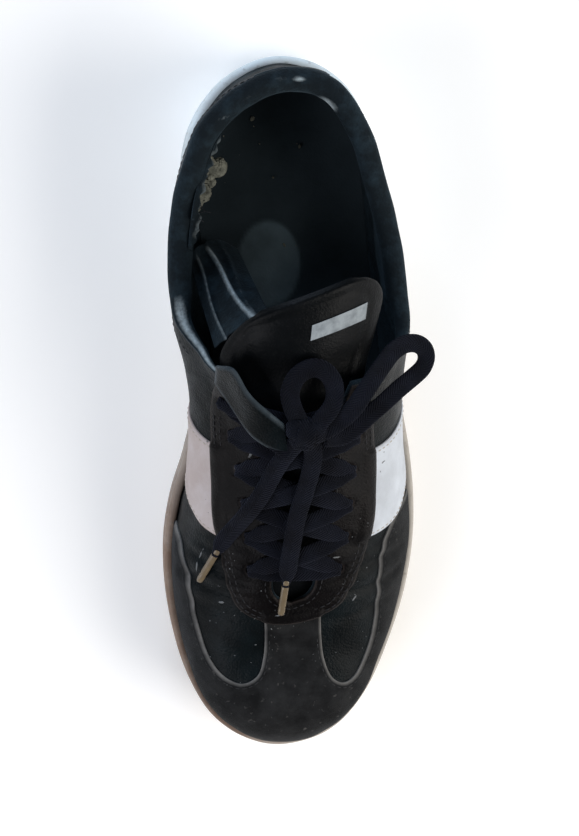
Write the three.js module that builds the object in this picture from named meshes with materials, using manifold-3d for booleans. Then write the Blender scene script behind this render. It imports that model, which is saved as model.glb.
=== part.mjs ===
// A worn low sneaker for the left foot, built as a maker would put it together: a rubber cup sole, a lasted upper
// with a padded collar, a loose insole, a padded tongue and a flat lace tied in a bow.
// Units are millimetres. X runs from the inner (medial) side to the outer side, the toe points along -Y, Z is up.
// Distances called "along" are measured from the back of the heel towards the toe.
import * as THREE from "three";
import { mergeVertices } from "three/addons/utils/BufferGeometryUtils.js";
import Module from "manifold-3d";

const wasm = await Module();
wasm.setup();

// ---------------------------------------------------------------- driving dimensions
const LENGTH = 296; // cup sole, heel to toe
const BALL_WIDTH = 109; // cup sole, across the ball of the foot
const INSTEP_HEIGHT = 92; // top of the upper half way along
const COLLAR_HEIGHT = 87; // top of the collar at the back of the heel
const GAP = 0.35; // between neighbouring pieces

const RIM_INSET = 1.4; // the rim's outer edge stands inside the sole's widest line
const RIM_WALL = 3.2; // wall of the cup around the upper
const CUP_DEPTH = 7.5; // how deep the upper stands in the cup
const TOE_SPRING = 10;
const HEEL_BEVEL = 2.5;
const ARCH = { from: 92, to: 148, rise: 2 };

const LEATHER = 2.4; // wall of the upper
const COLLAR_PADDING = 6.5; // added to the wall along the collar
const INSOLE_THICKNESS = 4.5;
const TONGUE_THICKNESS = 5;
const LACE = { width: 7.5, thickness: 1.8, cord: 4, lift: 1, over: 1 };
const EYELET = { radius: 2.4, from: 135, pitch: 14.4, rows: 6, edge: 8, tilt: 32 };
const AGLET_RADIUS = 1.8;

const RING_POINTS = 84; // around the sole and the upper
const FACET_TOLERANCE = 0.1;
const DEGREE = Math.PI / 180;

// The sole's widest outline as [along / LENGTH, across / BALL_WIDTH], from the back of the heel down the medial side
// to the toe and back up the lateral side.
const OUTLINE = [
  [0, -0.042],
  [0.012, -0.176],
  [0.047, -0.305],
  [0.105, -0.4],
  [0.18, -0.43],
  [0.28, -0.414],
  [0.39, -0.385],
  [0.49, -0.385],
  [0.565, -0.428],
  [0.625, -0.479],
  [0.69, -0.509],
  [0.76, -0.508],
  [0.828, -0.48],
  [0.889, -0.43],
  [0.942, -0.352],
  [0.975, -0.256],
  [0.994, -0.15],
  [1, -0.055],
  [0.995, 0.045],
  [0.981, 0.142],
  [0.954, 0.235],
  [0.91, 0.323],
  [0.85, 0.396],
  [0.782, 0.456],
  [0.71, 0.491],
  [0.64, 0.496],
  [0.565, 0.476],
  [0.48, 0.434],
  [0.385, 0.394],
  [0.285, 0.359],
  [0.185, 0.331],
  [0.108, 0.296],
  [0.05, 0.228],
  [0.013, 0.107],
];

// Tables of [along, value], read with a smooth curve through their rows.
const SPINE_X = [[46, -5], [110, -4.5], [150, -3.5], [200, -2], [252, -6]];
const SPINE_START = 46;
const SPINE_END = 250;
const RIM_TOP = [[0, 33], [40, 31], [110, 28.5], [170, 26], [215, 25], [260, 28], [296, 34]];
const RIDGE = [
  [46, 150], [80, 144], [102, 126], [124, 105], [148, INSTEP_HEIGHT],
  [175, 82.5], [200, 73], [222, 65], [238, 60], [250, 57],
];
const SIDE_FULLNESS = [
  [46, 0.6], [100, 0.62], [130, 0.85], [160, 1], [200, 0.92], [226, 0.78], [250, 0.66],
];
const TOP_FULLNESS = [
  [46, 1], [100, 1], [130, 1.05], [160, 1.08], [200, 1], [226, 0.93], [250, 0.86],
];
// How far the collar leans out over the sole, and how far the waist bulges over it, by side.
const FLARE = {
  medial: [
    [0, 0], [5, 0.1], [22, 2.8], [40, 6.2], [60, 9.8], [85, 12.8],
    [105, 11.7], [125, 8.5], [150, 3], [178, 0.5], [200, 0],
  ],
  lateral: [
    [0, 0], [5, 0.1], [25, 0.5], [45, 3], [65, 7], [90, 9.5],
    [110, 9], [130, 6], [150, 2.5], [178, 0.5], [200, 0],
  ],
};
const BULGE = {
  medial: [
    [0, -3.2], [5, -3.1], [16, -2.4], [34, -1.2], [60, 0.5],
    [90, 2], [120, 5], [148, 7.5], [164, 5], [178, 2], [192, 0],
  ],
  lateral: [[0, -3.2], [5, -3.1], [14, -1.8], [30, 0], [60, 0.5], [120, 1], [148, 1.5], [190, 0]],
};
const FLARE_REACH = 42; // height above the sole's rim at which the collar has its full lean
const BULGE_REACH = 52; // height over which the bulge rises and falls
// The upper's openings: the collar's top line in side view, and half the throat's width between the lace rows.
const TOP_LINE = [
  [-20, COLLAR_HEIGHT], [4, COLLAR_HEIGHT], [24, COLLAR_HEIGHT - 3], [45, 78], [65, 71.5],
  [85, 69], [101, 71.5], [114, 80], [125, 93], [130, 112],
];
const THROAT = [[100, 31], [128, 21], [150, 15.5], [175, 12.5], [200, 10.5], [213, 9]];
const THROAT_END = 222;
// The tongue: its sag below the skin in the throat, its free middle line as [along, height], half its width, and how
// far its free end is skewed, the outer side towards the heel.
const TONGUE = {
  depth: LEATHER + 1.4,
  free: [[92, 108], [100, 105.5], [112, 101], [128, 95.5]],
  half: [
    [92, 17], [94.5, 23], [99, 28.5], [106, 31.5], [117, 29.5],
    [128, 26.8], [140, 26.8], [160, 26], [200, 21], [236, 15],
  ],
  skew: [[92, 0.36], [110, 0.33], [135, 0.1], [150, 0]],
  shift: [[92, 4], [115, 2.5], [150, 0]],
};

// The bow: the knot's middle and half sizes, and the routes of its loops and ends, point by point as they lie.
const KNOT = { at: [-0.5, 2.6, 101.9], radii: [8.5, 6.5, 3.6] };
const LOOP_OUTER = [
  [5, 3, 101], [11, 6.5, 101.6], [16.5, 11.5, 102.8], [20.5, 17.5, 104], [24.5, 23, 102.2], [29, 28, 97.5],
  [33.5, 32.5, 93], [38.5, 35, 89.4], [43.5, 35, 86.5], [47, 32.6, 84.8], [48, 28.8, 84], [46.4, 25, 84.4],
  [42.3, 21.6, 86.2], [36.5, 17.6, 89.2], [30.5, 12.8, 91.7], [24.5, 8, 93.2], [19, 3.5, 94.6], [13.5, 0.5, 96.6],
  [7, 0.5, 99.8],
];
const LOOP_UPRIGHT = [
  [-2.5, 5, 102], [-4, 8.5, 102.2], [-6, 13, 102.6], [-7, 17.5, 103], [-6.4, 21, 103.2], [-4.5, 24.6, 103.2],
  [-1.5, 27, 103], [1.5, 28, 102.8], [4.5, 27.6, 102.6], [7.5, 25.5, 102.4], [9.6, 22, 102.2], [10.2, 18, 102.2],
  [9.4, 14.4, 103.4], [7.6, 11.2, 103.5], [5.1, 8.2, 103.2], [3, 5, 102.8],
];
const END_MIDDLE = [
  [0.5, 0, 99.6], [2, -3.5, 97.6], [2.5, -7.5, 95.8], [2.2, -11.5, 94.2], [1.5, -15.5, 92.6], [0.6, -19.5, 91.2],
  [-0.3, -23.5, 89.8], [-1.4, -27.5, 88.4], [-2.4, -31.5, 87], [-3.1, -35.5, 85.5], [-3.7, -39.5, 84],
  [-4.2, -43.5, 82.6], [-4.7, -47.5, 81.1], [-5.2, -51.5, 79.5], [-5.6, -55.5, 78.1], [-6.15, -60.8, 75.9],
];
const END_INNER = [
  [-3, 0, 99.8], [-5, -2.5, 98], [-7.2, -5.5, 96.2], [-9.3, -8.6, 94.6], [-11.2, -12, 93], [-12.8, -15.4, 91],
  [-14.4, -18.8, 89.6], [-16, -22.2, 88], [-17.8, -25.6, 86.2], [-19.8, -29, 84.2], [-22, -32.4, 81.9],
  [-24.2, -36, 78.1], [-26.4, -39.4, 74.6], [-28.6, -42.6, 71.6], [-30.6, -45.8, 68.9], [-32.95, -50.3, 65.8],
];
const AGLET_MIDDLE = [[-6.2, -61.2, 75.8], [-8, -78, 68.8]];
const AGLET_INNER = [[-33.1, -50.6, 65.6], [-41, -66.5, 56.6]];

// ---------------------------------------------------------------- curves
const heelY = LENGTH / 2;
const clamp = (value, low, high) => Math.min(high, Math.max(low, value));
const mix = (a, b, share) => a + (b - a) * share;

// A table's value at a position: a cubic through its rows, level beyond the first and the last.
function read(rows, at) {
  const last = rows.length - 1;
  if (at <= rows[0][0]) return rows[0][1];
  if (at >= rows[last][0]) return rows[last][1];
  let i = 0;
  while (rows[i + 1][0] < at) i++;
  const slope = (k) =>
    k === 0 || k === last ? 0 : (rows[k + 1][1] - rows[k - 1][1]) / (rows[k + 1][0] - rows[k - 1][0]);
  const [[x0, y0], [x1, y1]] = [rows[i], rows[i + 1]];
  const span = x1 - x0;
  const q = (at - x0) / span;
  return (
    y0 * (1 + 2 * q) * (1 - q) ** 2 +
    y1 * q * q * (3 - 2 * q) +
    span * (slope(i) * q * (1 - q) ** 2 - slope(i + 1) * q * q * (1 - q))
  );
}

const outlineCurve = new THREE.CatmullRomCurve3(
  OUTLINE.map(([along, across]) => new THREE.Vector3(across * BALL_WIDTH, heelY - along * LENGTH, 0)),
  true,
  "catmullrom",
  0.5,
);
outlineCurve.arcLengthDivisions = 1600;
const outline = outlineCurve.getSpacedPoints(RING_POINTS).slice(0, RING_POINTS);
const outward = outline.map((_, i) => {
  const before = outline[(i + RING_POINTS - 1) % RING_POINTS];
  const after = outline[(i + 1) % RING_POINTS];
  return new THREE.Vector3(before.y - after.y, after.x - before.x, 0).normalize().negate();
});

// The outline moved in by a distance, as a ring of points.
const insetOutline = (distance) => outline.map((p, i) => p.clone().addScaledVector(outward[i], -distance));

const alongOf = (y) => heelY - y;
function spineOf(y) {
  const along = clamp(alongOf(y), SPINE_START, SPINE_END);
  return new THREE.Vector3(read(SPINE_X, along), heelY - along, 0);
}

function bottomHeight(along) {
  const heel = Math.max(0, (12 - along) / 12);
  const toe = Math.max(0, (along - 214) / (LENGTH - 214));
  const arch = clamp((along - ARCH.from) / (ARCH.to - ARCH.from), 0, 1);
  return HEEL_BEVEL * heel ** 2 + TOE_SPRING * toe ** 2 + ARCH.rise * Math.sin(arch * Math.PI) ** 2;
}
const rimHeight = (along) => read(RIM_TOP, along);
const cupFloor = (along) => rimHeight(along) - CUP_DEPTH;

// ---------------------------------------------------------------- solids
// A closed mesh from rings of points, stitched ring to ring and capped at both ends. plan flattens an end's ring.
function loft(rings, plan = (p) => new THREE.Vector2(p.x, p.y)) {
  const count = rings[0].length;
  const positions = rings.flat().flatMap((p) => [p.x, p.y, p.z]);
  const faces = [];
  for (let r = 0; r + 1 < rings.length; r++) {
    for (let i = 0; i < count; i++) {
      const [a, b] = [r * count + i, r * count + ((i + 1) % count)];
      faces.push(a, b, b + count, a, b + count, a + count);
    }
  }
  const cap = (ring, start, turned) => {
    for (const [a, b, c] of THREE.ShapeUtils.triangulateShape(ring.map(plan), [])) {
      faces.push(start + a, start + (turned ? c : b), start + (turned ? b : c));
    }
  };
  const clockwise = THREE.ShapeUtils.isClockWise(rings[0].map(plan));
  cap(rings[0], 0, !clockwise);
  cap(rings.at(-1), (rings.length - 1) * count, clockwise);
  return solid(positions, faces);
}

function solid(positions, faces) {
  const made = new wasm.Manifold(
    new wasm.Mesh({
      numProp: 3,
      vertProperties: new Float32Array(positions),
      triVerts: new Uint32Array(faces),
    }),
  );
  if (made.volume() > 0) return made;
  for (let i = 0; i < faces.length; i += 3) [faces[i + 1], faces[i + 2]] = [faces[i + 2], faces[i + 1]];
  return solid(positions, faces);
}

function solidOf(geometry, matrix = new THREE.Matrix4()) {
  const bare = geometry.clone().applyMatrix4(matrix);
  bare.deleteAttribute("normal");
  bare.deleteAttribute("uv");
  const merged = mergeVertices(bare, 1e-3);
  return solid(Array.from(merged.attributes.position.array), Array.from(merged.index.array));
}

function geometryOf(made) {
  const mesh = made.simplify(FACET_TOLERANCE).getMesh();
  const geometry = new THREE.BufferGeometry();
  geometry.setAttribute("position", new THREE.BufferAttribute(new Float32Array(mesh.vertProperties), 3));
  geometry.setIndex(new THREE.BufferAttribute(new Uint32Array(mesh.triVerts), 1));
  geometry.computeVertexNormals();
  return geometry;
}

// ---------------------------------------------------------------- cup sole
// One moulded rubber cup: a tread with grooves, a side wall and a rim, hollow on top for the upper.
const WALL_PROFILE = [
  [3.4, 0], [1.3, 0.12], [0, 0.42], [0.3, 0.75],
  [RIM_INSET, 0.96], [RIM_INSET + 0.9, 1], [RIM_INSET + RIM_WALL, 0.985],
];

function soleRing(share, height) {
  return insetOutline(WALL_PROFILE[0][0]).map((p) => {
    const at = p.lerp(spineOf(p.y), share);
    return at.setZ(height(alongOf(at.y)));
  });
}

function cupSole() {
  const wall = WALL_PROFILE.map(([inset, share]) =>
    insetOutline(inset).map((p) => {
      const along = alongOf(p.y);
      return p.setZ(mix(bottomHeight(along), rimHeight(along), share));
    }),
  );
  const recess = insetOutline(RIM_INSET + RIM_WALL);
  const floor = [0, 0.45, 0.9].map((share) =>
    recess.map((p) => {
      const at = p.clone().lerp(spineOf(p.y), share);
      return at.setZ(cupFloor(alongOf(at.y)));
    }),
  );
  const bottom = [0.92, 0.6, 0.3].map((share) => soleRing(share, bottomHeight));
  return treadGrooves().reduce((sole, groove) => sole.subtract(groove), loft([...bottom, ...wall, ...floor]));
}

// Zigzag grooves across the tread, under the forefoot and under the heel, and a shallow arch between them.
const GROOVE = { width: 3, depth: 2, pitch: 15, zigzag: 3.5, reach: 60 };

function treadGrooves() {
  const grooves = [];
  for (let along = 150; along < LENGTH - 20; along += GROOVE.pitch) grooves.push(grooveAt(along));
  for (let along = 22; along < 88; along += GROOVE.pitch) grooves.push(grooveAt(along));
  return grooves;
}

function grooveAt(along) {
  const steps = 6;
  const edge = (side) =>
    Array.from({ length: steps + 1 }, (_, i) => {
      const x = mix(-GROOVE.reach, GROOVE.reach, i / steps);
      return new THREE.Vector2(x, heelY - along + (i % 2 ? 1 : -1) * GROOVE.zigzag + (side * GROOVE.width) / 2);
    });
  const shape = new THREE.Shape([...edge(-1), ...edge(1).reverse()]);
  const geometry = new THREE.ExtrudeGeometry(shape, { depth: GROOVE.depth + 10, bevelEnabled: false });
  return solidOf(geometry, new THREE.Matrix4().makeTranslation(0, 0, bottomHeight(along) - 10));
}

// ---------------------------------------------------------------- upper
const sideOf = (x, y) => (x < spineOf(y).x ? "medial" : "lateral");

// A point of the upper's skin. foot is where it enters the cup, angle goes from 0 there to 90 degrees on the ridge,
// and inset is how far the surface lies inside the outer one.
function skin(foot, angle, inset) {
  const spine = spineOf(foot.y);
  const [footAlong, spineAlong] = [alongOf(foot.y), alongOf(spine.y)];
  const rim = rimHeight(footAlong);
  const ridge = read(RIDGE, spineAlong) - inset;
  const out = foot.clone().sub(spine).setZ(0);
  const reach = out.length();
  out.normalize();
  const side = sideOf(foot.x, foot.y);
  const z = rim + (ridge - rim) * Math.sin(angle) ** read(TOP_FULLNESS, spineAlong);
  const height = z - rim;
  const lean = Math.sin((clamp(height / FLARE_REACH, 0, 1) * Math.PI) / 2) ** 2;
  const bulge = Math.sin(clamp(height / BULGE_REACH, 0, 1) * Math.PI);
  const shift = read(FLARE[side], footAlong) * lean + read(BULGE[side], footAlong) * bulge;
  const distance = reach * Math.cos(angle) ** read(SIDE_FULLNESS, spineAlong) + shift;
  return spine.addScaledVector(out, distance).setZ(z);
}

// Where the outline, moved in by a distance, crosses a line across the shoe on one side of the spine.
function footAt(side, y, distance) {
  const ring = insetOutline(distance).filter((p) => sideOf(p.x, p.y) === side);
  ring.sort((a, b) => a.y - b.y);
  const next = clamp(ring.findIndex((p) => p.y > y), 1, ring.length - 1);
  const [a, b] = [ring[next - 1], ring[next]];
  return a.clone().lerp(b, (y - a.y) / (b.y - a.y)).setY(y);
}

// The height of a surface inside the upper's skin over a place in the plan, found by halving the angle's range.
function skinHeight(x, y, inset = 0) {
  const foot = footAt(sideOf(x, y), y, RIM_INSET + RIM_WALL + GAP + inset);
  const across = Math.abs(x - spineOf(y).x);
  let [low, high] = [0, Math.PI / 2];
  for (let step = 0; step < 24; step++) {
    const middle = (low + high) / 2;
    const reached = Math.abs(skin(foot, middle, inset).x - spineOf(y).x);
    if (reached > across) low = middle;
    else high = middle;
  }
  return skin(foot, (low + high) / 2, inset).z;
}

// The thickness of the wall: plain leather, and foam padding that fades in along the collar.
function wallThickness(along, height) {
  const topLine = read(TOP_LINE, along);
  const nearTop = clamp(1 - (topLine - height - 4) / 24, 0, 1);
  const behindThroat = clamp((122 - along) / 26, 0, 1);
  return LEATHER + COLLAR_PADDING * Math.sin((nearTop * Math.PI) / 2) * behindThroat;
}

const SKIN_LEVELS = 12;
const LAST_ANGLE = 84 * DEGREE;

function lastBody(inset, padded) {
  const feather = insetOutline(RIM_INSET + RIM_WALL + GAP + inset);
  const below = (depth) => feather.map((p) => p.clone().setZ(rimHeight(alongOf(p.y)) - depth));
  const floor = padded ? feather.map((p) => p.clone().setZ(0)) : below(CUP_DEPTH - GAP);
  const rings = [floor, below(1)];
  for (let level = 0; level <= SKIN_LEVELS; level++) {
    const angle = (level / SKIN_LEVELS) ** 1.25 * LAST_ANGLE;
    rings.push(
      feather.map((p) => {
        const at = skin(p, angle, inset);
        if (!padded) return at;
        const spine = spineOf(p.y);
        const inward = new THREE.Vector3(spine.x - at.x, spine.y - at.y, 0).normalize();
        return at.addScaledVector(inward, wallThickness(alongOf(p.y), at.z) - LEATHER);
      }),
    );
  }
  return loft(rings);
}

// A prism that stands on a plan shape, for cutting the throat.
function throatCutter() {
  const stations = [100, 114, 128, 139, 150, 162, 175, 188, 200, 207, 213];
  const edge = (side) =>
    stations.map((along) => {
      const half = read(THROAT, along);
      return new THREE.Vector2(read(SPINE_X, along) + side * half, heelY - along);
    });
  const end = THROAT_END - 213;
  const endHalf = read(THROAT, 213);
  const round = [150, 120, 90, 60, 30].map((angle) => {
    const at = angle * DEGREE;
    return new THREE.Vector2(read(SPINE_X, 213) + Math.cos(at) * endHalf, heelY - 213 - Math.sin(at) * end);
  });
  const shape = new THREE.Shape([...edge(-1), ...round, ...edge(1).reverse()]);
  const geometry = new THREE.ExtrudeGeometry(shape, { depth: 200, bevelEnabled: false });
  return solidOf(geometry, new THREE.Matrix4().makeTranslation(0, 0, 50));
}

// A prism across the shoe above the collar's top line.
function collarCutter() {
  const [start, end] = [TOP_LINE[0][0], TOP_LINE.at(-1)[0]];
  const top = Array.from({ length: 29 }, (_, i) => {
    const along = mix(start, end, i / 28);
    return new THREE.Vector2(heelY - along, read(TOP_LINE, along));
  });
  const above = [new THREE.Vector2(heelY - end, 260), new THREE.Vector2(heelY - start, 260)];
  const shape = new THREE.Shape([...top, ...above]);
  const geometry = new THREE.ExtrudeGeometry(shape, { depth: 2 * BALL_WIDTH, bevelEnabled: false });
  const upright = new THREE.Matrix4().makeBasis(
    new THREE.Vector3(0, 1, 0),
    new THREE.Vector3(0, 0, 1),
    new THREE.Vector3(1, 0, 0),
  );
  return solidOf(geometry, upright.setPosition(-BALL_WIDTH, 0, 0));
}

function upper() {
  const hollow = lastBody(0, false).subtract(lastBody(LEATHER, true));
  const open = hollow.subtract(collarCutter()).subtract(throatCutter());
  return eyelets.reduce((made, eyelet) => made.subtract(punch(eyelet)), open);
}

// ---------------------------------------------------------------- eyelets
// The eyelets stand in two rows beside the throat, from the top row down to the toe.
function eyeletAt(side, row) {
  const along = EYELET.from + row * EYELET.pitch;
  const x = read(SPINE_X, along) + side * (read(THROAT, along) + EYELET.edge);
  return new THREE.Vector3(x, heelY - along, skinHeight(x, heelY - along));
}

const eyelets = [-1, 1].flatMap((side) => Array.from({ length: EYELET.rows }, (_, row) => ({ side, row })));

function punch({ side, row }) {
  const hole = new THREE.CylinderGeometry(EYELET.radius, EYELET.radius, 16, 8);
  const place = new THREE.Matrix4().setPosition(eyeletAt(side, row));
  const lean = new THREE.Matrix4().makeRotationY(side * EYELET.tilt * DEGREE);
  return solidOf(hole, place.multiply(lean).multiply(new THREE.Matrix4().makeRotationX(Math.PI / 2)));
}

// ---------------------------------------------------------------- insole and tongue
// A sheet over the cup's floor, cut to the room inside the upper and turned up a little at its edge.
function insole() {
  const edge = insetOutline(RIM_INSET + RIM_WALL);
  const ring = (share, height) =>
    edge.map((p) => {
      const at = p.clone().lerp(spineOf(p.y), share);
      return at.setZ(cupFloor(alongOf(at.y)) + 3 * GAP + height * INSOLE_THICKNESS);
    });
  const underside = [ring(0.9, 0), ring(0.45, 0), ring(0, 0)];
  const sheet = loft([...underside, ring(0, 1.5), ring(0.2, 1.1), ring(0.45, 1), ring(0.9, 1)]);
  return sheet.intersect(lastBody(LEATHER + GAP, true));
}

// A padded strip that lies under the throat and stands free, skewed, above its top end.
function tongueHeight(along, across) {
  const under = (at) => skinHeight(read(SPINE_X, at) + across, heelY - at, TONGUE.depth);
  if (along >= 140) return under(along);
  const crown = read(TONGUE.free, along) - 14 * (across / 32) ** 2;
  return mix(crown, under(140) + (140 - along) * 0.42, clamp((along - 120) / 20, 0, 1) ** 2);
}

function tongue() {
  const stations = [92, 94.5, 99, 107, 118, 129, 140, 151, 163, 176, 189, 201, 212, 224, 236];
  const columns = 12;
  const rings = stations.map((along) => {
    const half = read(TONGUE.half, along);
    const thickness = TONGUE_THICKNESS * mix(1, 0.6, clamp((along - 190) / 46, 0, 1));
    const face = (side) =>
      Array.from({ length: columns + 1 }, (_, i) => {
        const share = side * (1 - (2 * i) / columns);
        const across = half * share + read(TONGUE.shift, along);
        const edge = Math.max(0.15, Math.sqrt(Math.max(0, 1 - share ** 6)));
        const top = tongueHeight(along, half * share);
        const z = top - thickness / 2 + (side * thickness * edge) / 2;
        const y = heelY - along + read(TONGUE.skew, along) * half * share;
        return new THREE.Vector3(read(SPINE_X, along) + across, y, z);
      });
    return [...face(1), ...face(-1)];
  });
  return loft(rings, (p) => new THREE.Vector2(p.x, p.z));
}

// ---------------------------------------------------------------- lace
// A flat stretch of lace over the throat, from one place in the plan to another, lying on the skin's line.
function laceBar(from, to, lift) {
  const steps = Math.ceil(from.distanceTo(to) / 7);
  const across = new THREE.Vector3(to.y - from.y, from.x - to.x, 0).normalize();
  const corners = [[-1, 0], [1, 0], [1, 1], [-1, 1]];
  const rings = Array.from({ length: steps + 1 }, (_, i) => {
    const middle = from.clone().lerp(to, i / steps);
    return corners.map(([side, level]) => {
      const at = middle.clone().addScaledVector(across, (side * LACE.width) / 2);
      return at.setZ(skinHeight(at.x, at.y) + lift + level * LACE.thickness);
    });
  });
  return loft(rings, (p) => new THREE.Vector2(p.dot(across), p.z));
}

// The crossings, joined: a straight bar in the lowest row, a cross between each two rows, and the top pair of eyelets
// to the place under the knot.
function laceBars() {
  const { lift, over } = LACE;
  const last = EYELET.rows - 1;
  const bars = [laceBar(eyeletAt(-1, last), eyeletAt(1, last), lift)];
  for (let row = 0; row < last; row++) {
    bars.push(laceBar(eyeletAt(-1, row), eyeletAt(1, row + 1), lift));
    bars.push(laceBar(eyeletAt(1, row), eyeletAt(-1, row + 1), lift + over));
  }
  const underKnot = new THREE.Vector3(KNOT.at[0], KNOT.at[1] - 2, 0);
  for (const side of [-1, 1]) {
    const start = eyeletAt(side, 0);
    bars.push(laceBar(start, underKnot.clone().setX(underKnot.x - side * 3), lift + (side > 0 ? over : 0)));
  }
  return bars.reduce((joined, bar) => joined.add(bar));
}

function knot(margin = 0) {
  const ball = new THREE.SphereGeometry(1, 14, 8);
  const [rx, ry, rz] = KNOT.radii.map((radius) => radius + margin);
  return solidOf(ball, new THREE.Matrix4().makeScale(rx, ry, rz).setPosition(...KNOT.at));
}

// A plain tube along a route of points.
function cordTube(points) {
  const route = new THREE.CatmullRomCurve3(points.map((p) => new THREE.Vector3(...p)));
  const section = new THREE.Shape(
    Array.from({ length: 8 }, (_, i) => {
      const angle = (i + 0.5) * 45 * DEGREE;
      return new THREE.Vector2(Math.cos(angle), Math.sin(angle)).multiplyScalar(LACE.cord / 2);
    }),
  );
  const steps = Math.round(route.getLength() / (2 * LACE.cord));
  return solidOf(new THREE.ExtrudeGeometry(section, { steps, bevelEnabled: false, extrudePath: route }));
}

function aglet([from, to]) {
  const [start, end] = [new THREE.Vector3(...from), new THREE.Vector3(...to)];
  const along = end.clone().sub(start);
  const turn = new THREE.Quaternion().setFromUnitVectors(new THREE.Vector3(0, 1, 0), along.clone().normalize());
  const place = new THREE.Matrix4().compose(start.lerp(end, 0.5), turn, new THREE.Vector3(1, 1, 1));
  return solidOf(new THREE.CylinderGeometry(AGLET_RADIUS, AGLET_RADIUS, along.length(), 8), place);
}

// ---------------------------------------------------------------- the shoe
const black = { color: "#15191c", roughness: 0.55, metalness: 0 };
const finishes = {
  rubber: new THREE.MeshStandardMaterial({ color: "#c9c5bd", roughness: 0.7, metalness: 0 }),
  leather: new THREE.MeshStandardMaterial(black),
  lining: new THREE.MeshStandardMaterial({ color: "#1b232b", roughness: 0.9, metalness: 0 }),
  lace: new THREE.MeshStandardMaterial({ color: "#10131c", roughness: 0.95, metalness: 0 }),
  aglet: new THREE.MeshStandardMaterial({ color: "#a89b86", roughness: 0.4, metalness: 0 }),
};

const shoe = new THREE.Group();

function add(name, made, finish) {
  const mesh = new THREE.Mesh(geometryOf(made), finishes[finish]);
  mesh.name = name;
  shoe.add(mesh);
}

add("cup_sole", cupSole(), "rubber");
add("upper", upper(), "leather");
add("insole", insole(), "lining");
add("tongue", tongue(), "leather");
add("lace_bars", laceBars(), "lace");
add("lace_knot", knot(), "lace");
add("lace_loop_outer", cordTube(LOOP_OUTER).subtract(knot(GAP)), "lace");
add("lace_loop_upright", cordTube(LOOP_UPRIGHT).subtract(knot(GAP)), "lace");
add("lace_end_middle", cordTube(END_MIDDLE).subtract(knot(GAP)), "lace");
add("lace_end_inner", cordTube(END_INNER).subtract(knot(GAP)), "lace");
add("aglet_middle", aglet(AGLET_MIDDLE), "aglet");
add("aglet_inner", aglet(AGLET_INNER), "aglet");

// The frame's origin is the middle of the footprint, on the ground.
const footprint = new THREE.Box3().setFromObject(shoe.getObjectByName("cup_sole"));
shoe.position.copy(footprint.getCenter(new THREE.Vector3()).negate().setZ(-footprint.min.z));

export default shoe;
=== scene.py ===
"""A worn out left sneaker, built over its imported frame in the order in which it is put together.

Shapes are worked out in millimetres on the drawing's own axes: X towards the outer side, -Y towards the toe, Z up.
"along" is the distance from the back of the heel. to_frame() turns the drawing's points into the frame's metres.
"""

import math

import bpy
import numpy as np
from mathutils import Matrix, Vector


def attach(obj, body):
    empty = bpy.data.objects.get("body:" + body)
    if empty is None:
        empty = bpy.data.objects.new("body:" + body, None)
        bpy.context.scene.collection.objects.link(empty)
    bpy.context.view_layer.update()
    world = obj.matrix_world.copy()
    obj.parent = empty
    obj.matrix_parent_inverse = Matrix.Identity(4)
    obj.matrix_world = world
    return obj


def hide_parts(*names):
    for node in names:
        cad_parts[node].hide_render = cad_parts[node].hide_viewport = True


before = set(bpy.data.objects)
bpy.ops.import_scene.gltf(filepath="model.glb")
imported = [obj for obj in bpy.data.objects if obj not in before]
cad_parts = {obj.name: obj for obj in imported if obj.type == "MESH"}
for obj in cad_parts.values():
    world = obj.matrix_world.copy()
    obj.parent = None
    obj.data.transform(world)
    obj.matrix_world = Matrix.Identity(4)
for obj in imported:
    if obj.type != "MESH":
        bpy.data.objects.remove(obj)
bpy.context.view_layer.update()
rng = np.random.default_rng(11)

# ---------------------------------------------------------------- camera
# The camera looks down on the shoe from above its inner side, behind its middle, with the toe at the bottom.
CAMERA_AT = Vector((-0.0542, 0.107, 0.700))
LOOKS_AT = Vector((-0.001, -0.002, 0.036))
LENS = 69.0

camera = bpy.data.objects.new("camera", bpy.data.cameras.new("camera"))
bpy.context.scene.collection.objects.link(camera)
bpy.context.scene.camera = camera
camera.data.lens = LENS
camera.data.sensor_width = 36.0
camera.data.clip_start = 0.01
ahead = (LOOKS_AT - CAMERA_AT).normalized()
rightwards = ahead.cross(Vector((0, 1, 0))).normalized()
upwards = rightwards.cross(ahead)
turn = Matrix((rightwards, upwards, -ahead)).transposed().to_4x4()
camera.matrix_world = Matrix.Translation(CAMERA_AT) @ turn

# ---------------------------------------------------------------- studio
# A pale floor under three soft square lights: one on each side of the shoe, and a weaker cool one behind the heel for
# the leather's sheen.


def colour(text):
    """An sRGB hex value as linear red, green, blue and full opacity."""
    values = [int(text[i : i + 2], 16) / 255 for i in (1, 3, 5)]
    return [v / 12.92 if v <= 0.04045 else ((v + 0.055) / 1.055) ** 2.4 for v in values] + [1.0]


def add(tree, kind, inputs=None, **settings):
    """Adds one shader node, with its settings, and its inputs as values or as links."""
    made = tree.nodes.new("ShaderNode" + kind)
    for name, value in settings.items():
        setattr(made, name, value)
    for name, value in (inputs or {}).items():
        if isinstance(value, bpy.types.NodeSocket):
            tree.links.new(value, made.inputs[name])
        else:
            made.inputs[name].default_value = value
    return made


def new_material(name, **constants):
    """A material of one Principled shader with these constants on its sockets: its tree and the shader."""
    made = bpy.data.materials.new(name)
    made.use_nodes = True
    shader = made.node_tree.nodes["Principled BSDF"]
    for socket, value in constants.items():
        shader.inputs[socket.replace("_", " ")].default_value = value
    return made, made.node_tree, shader


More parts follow.
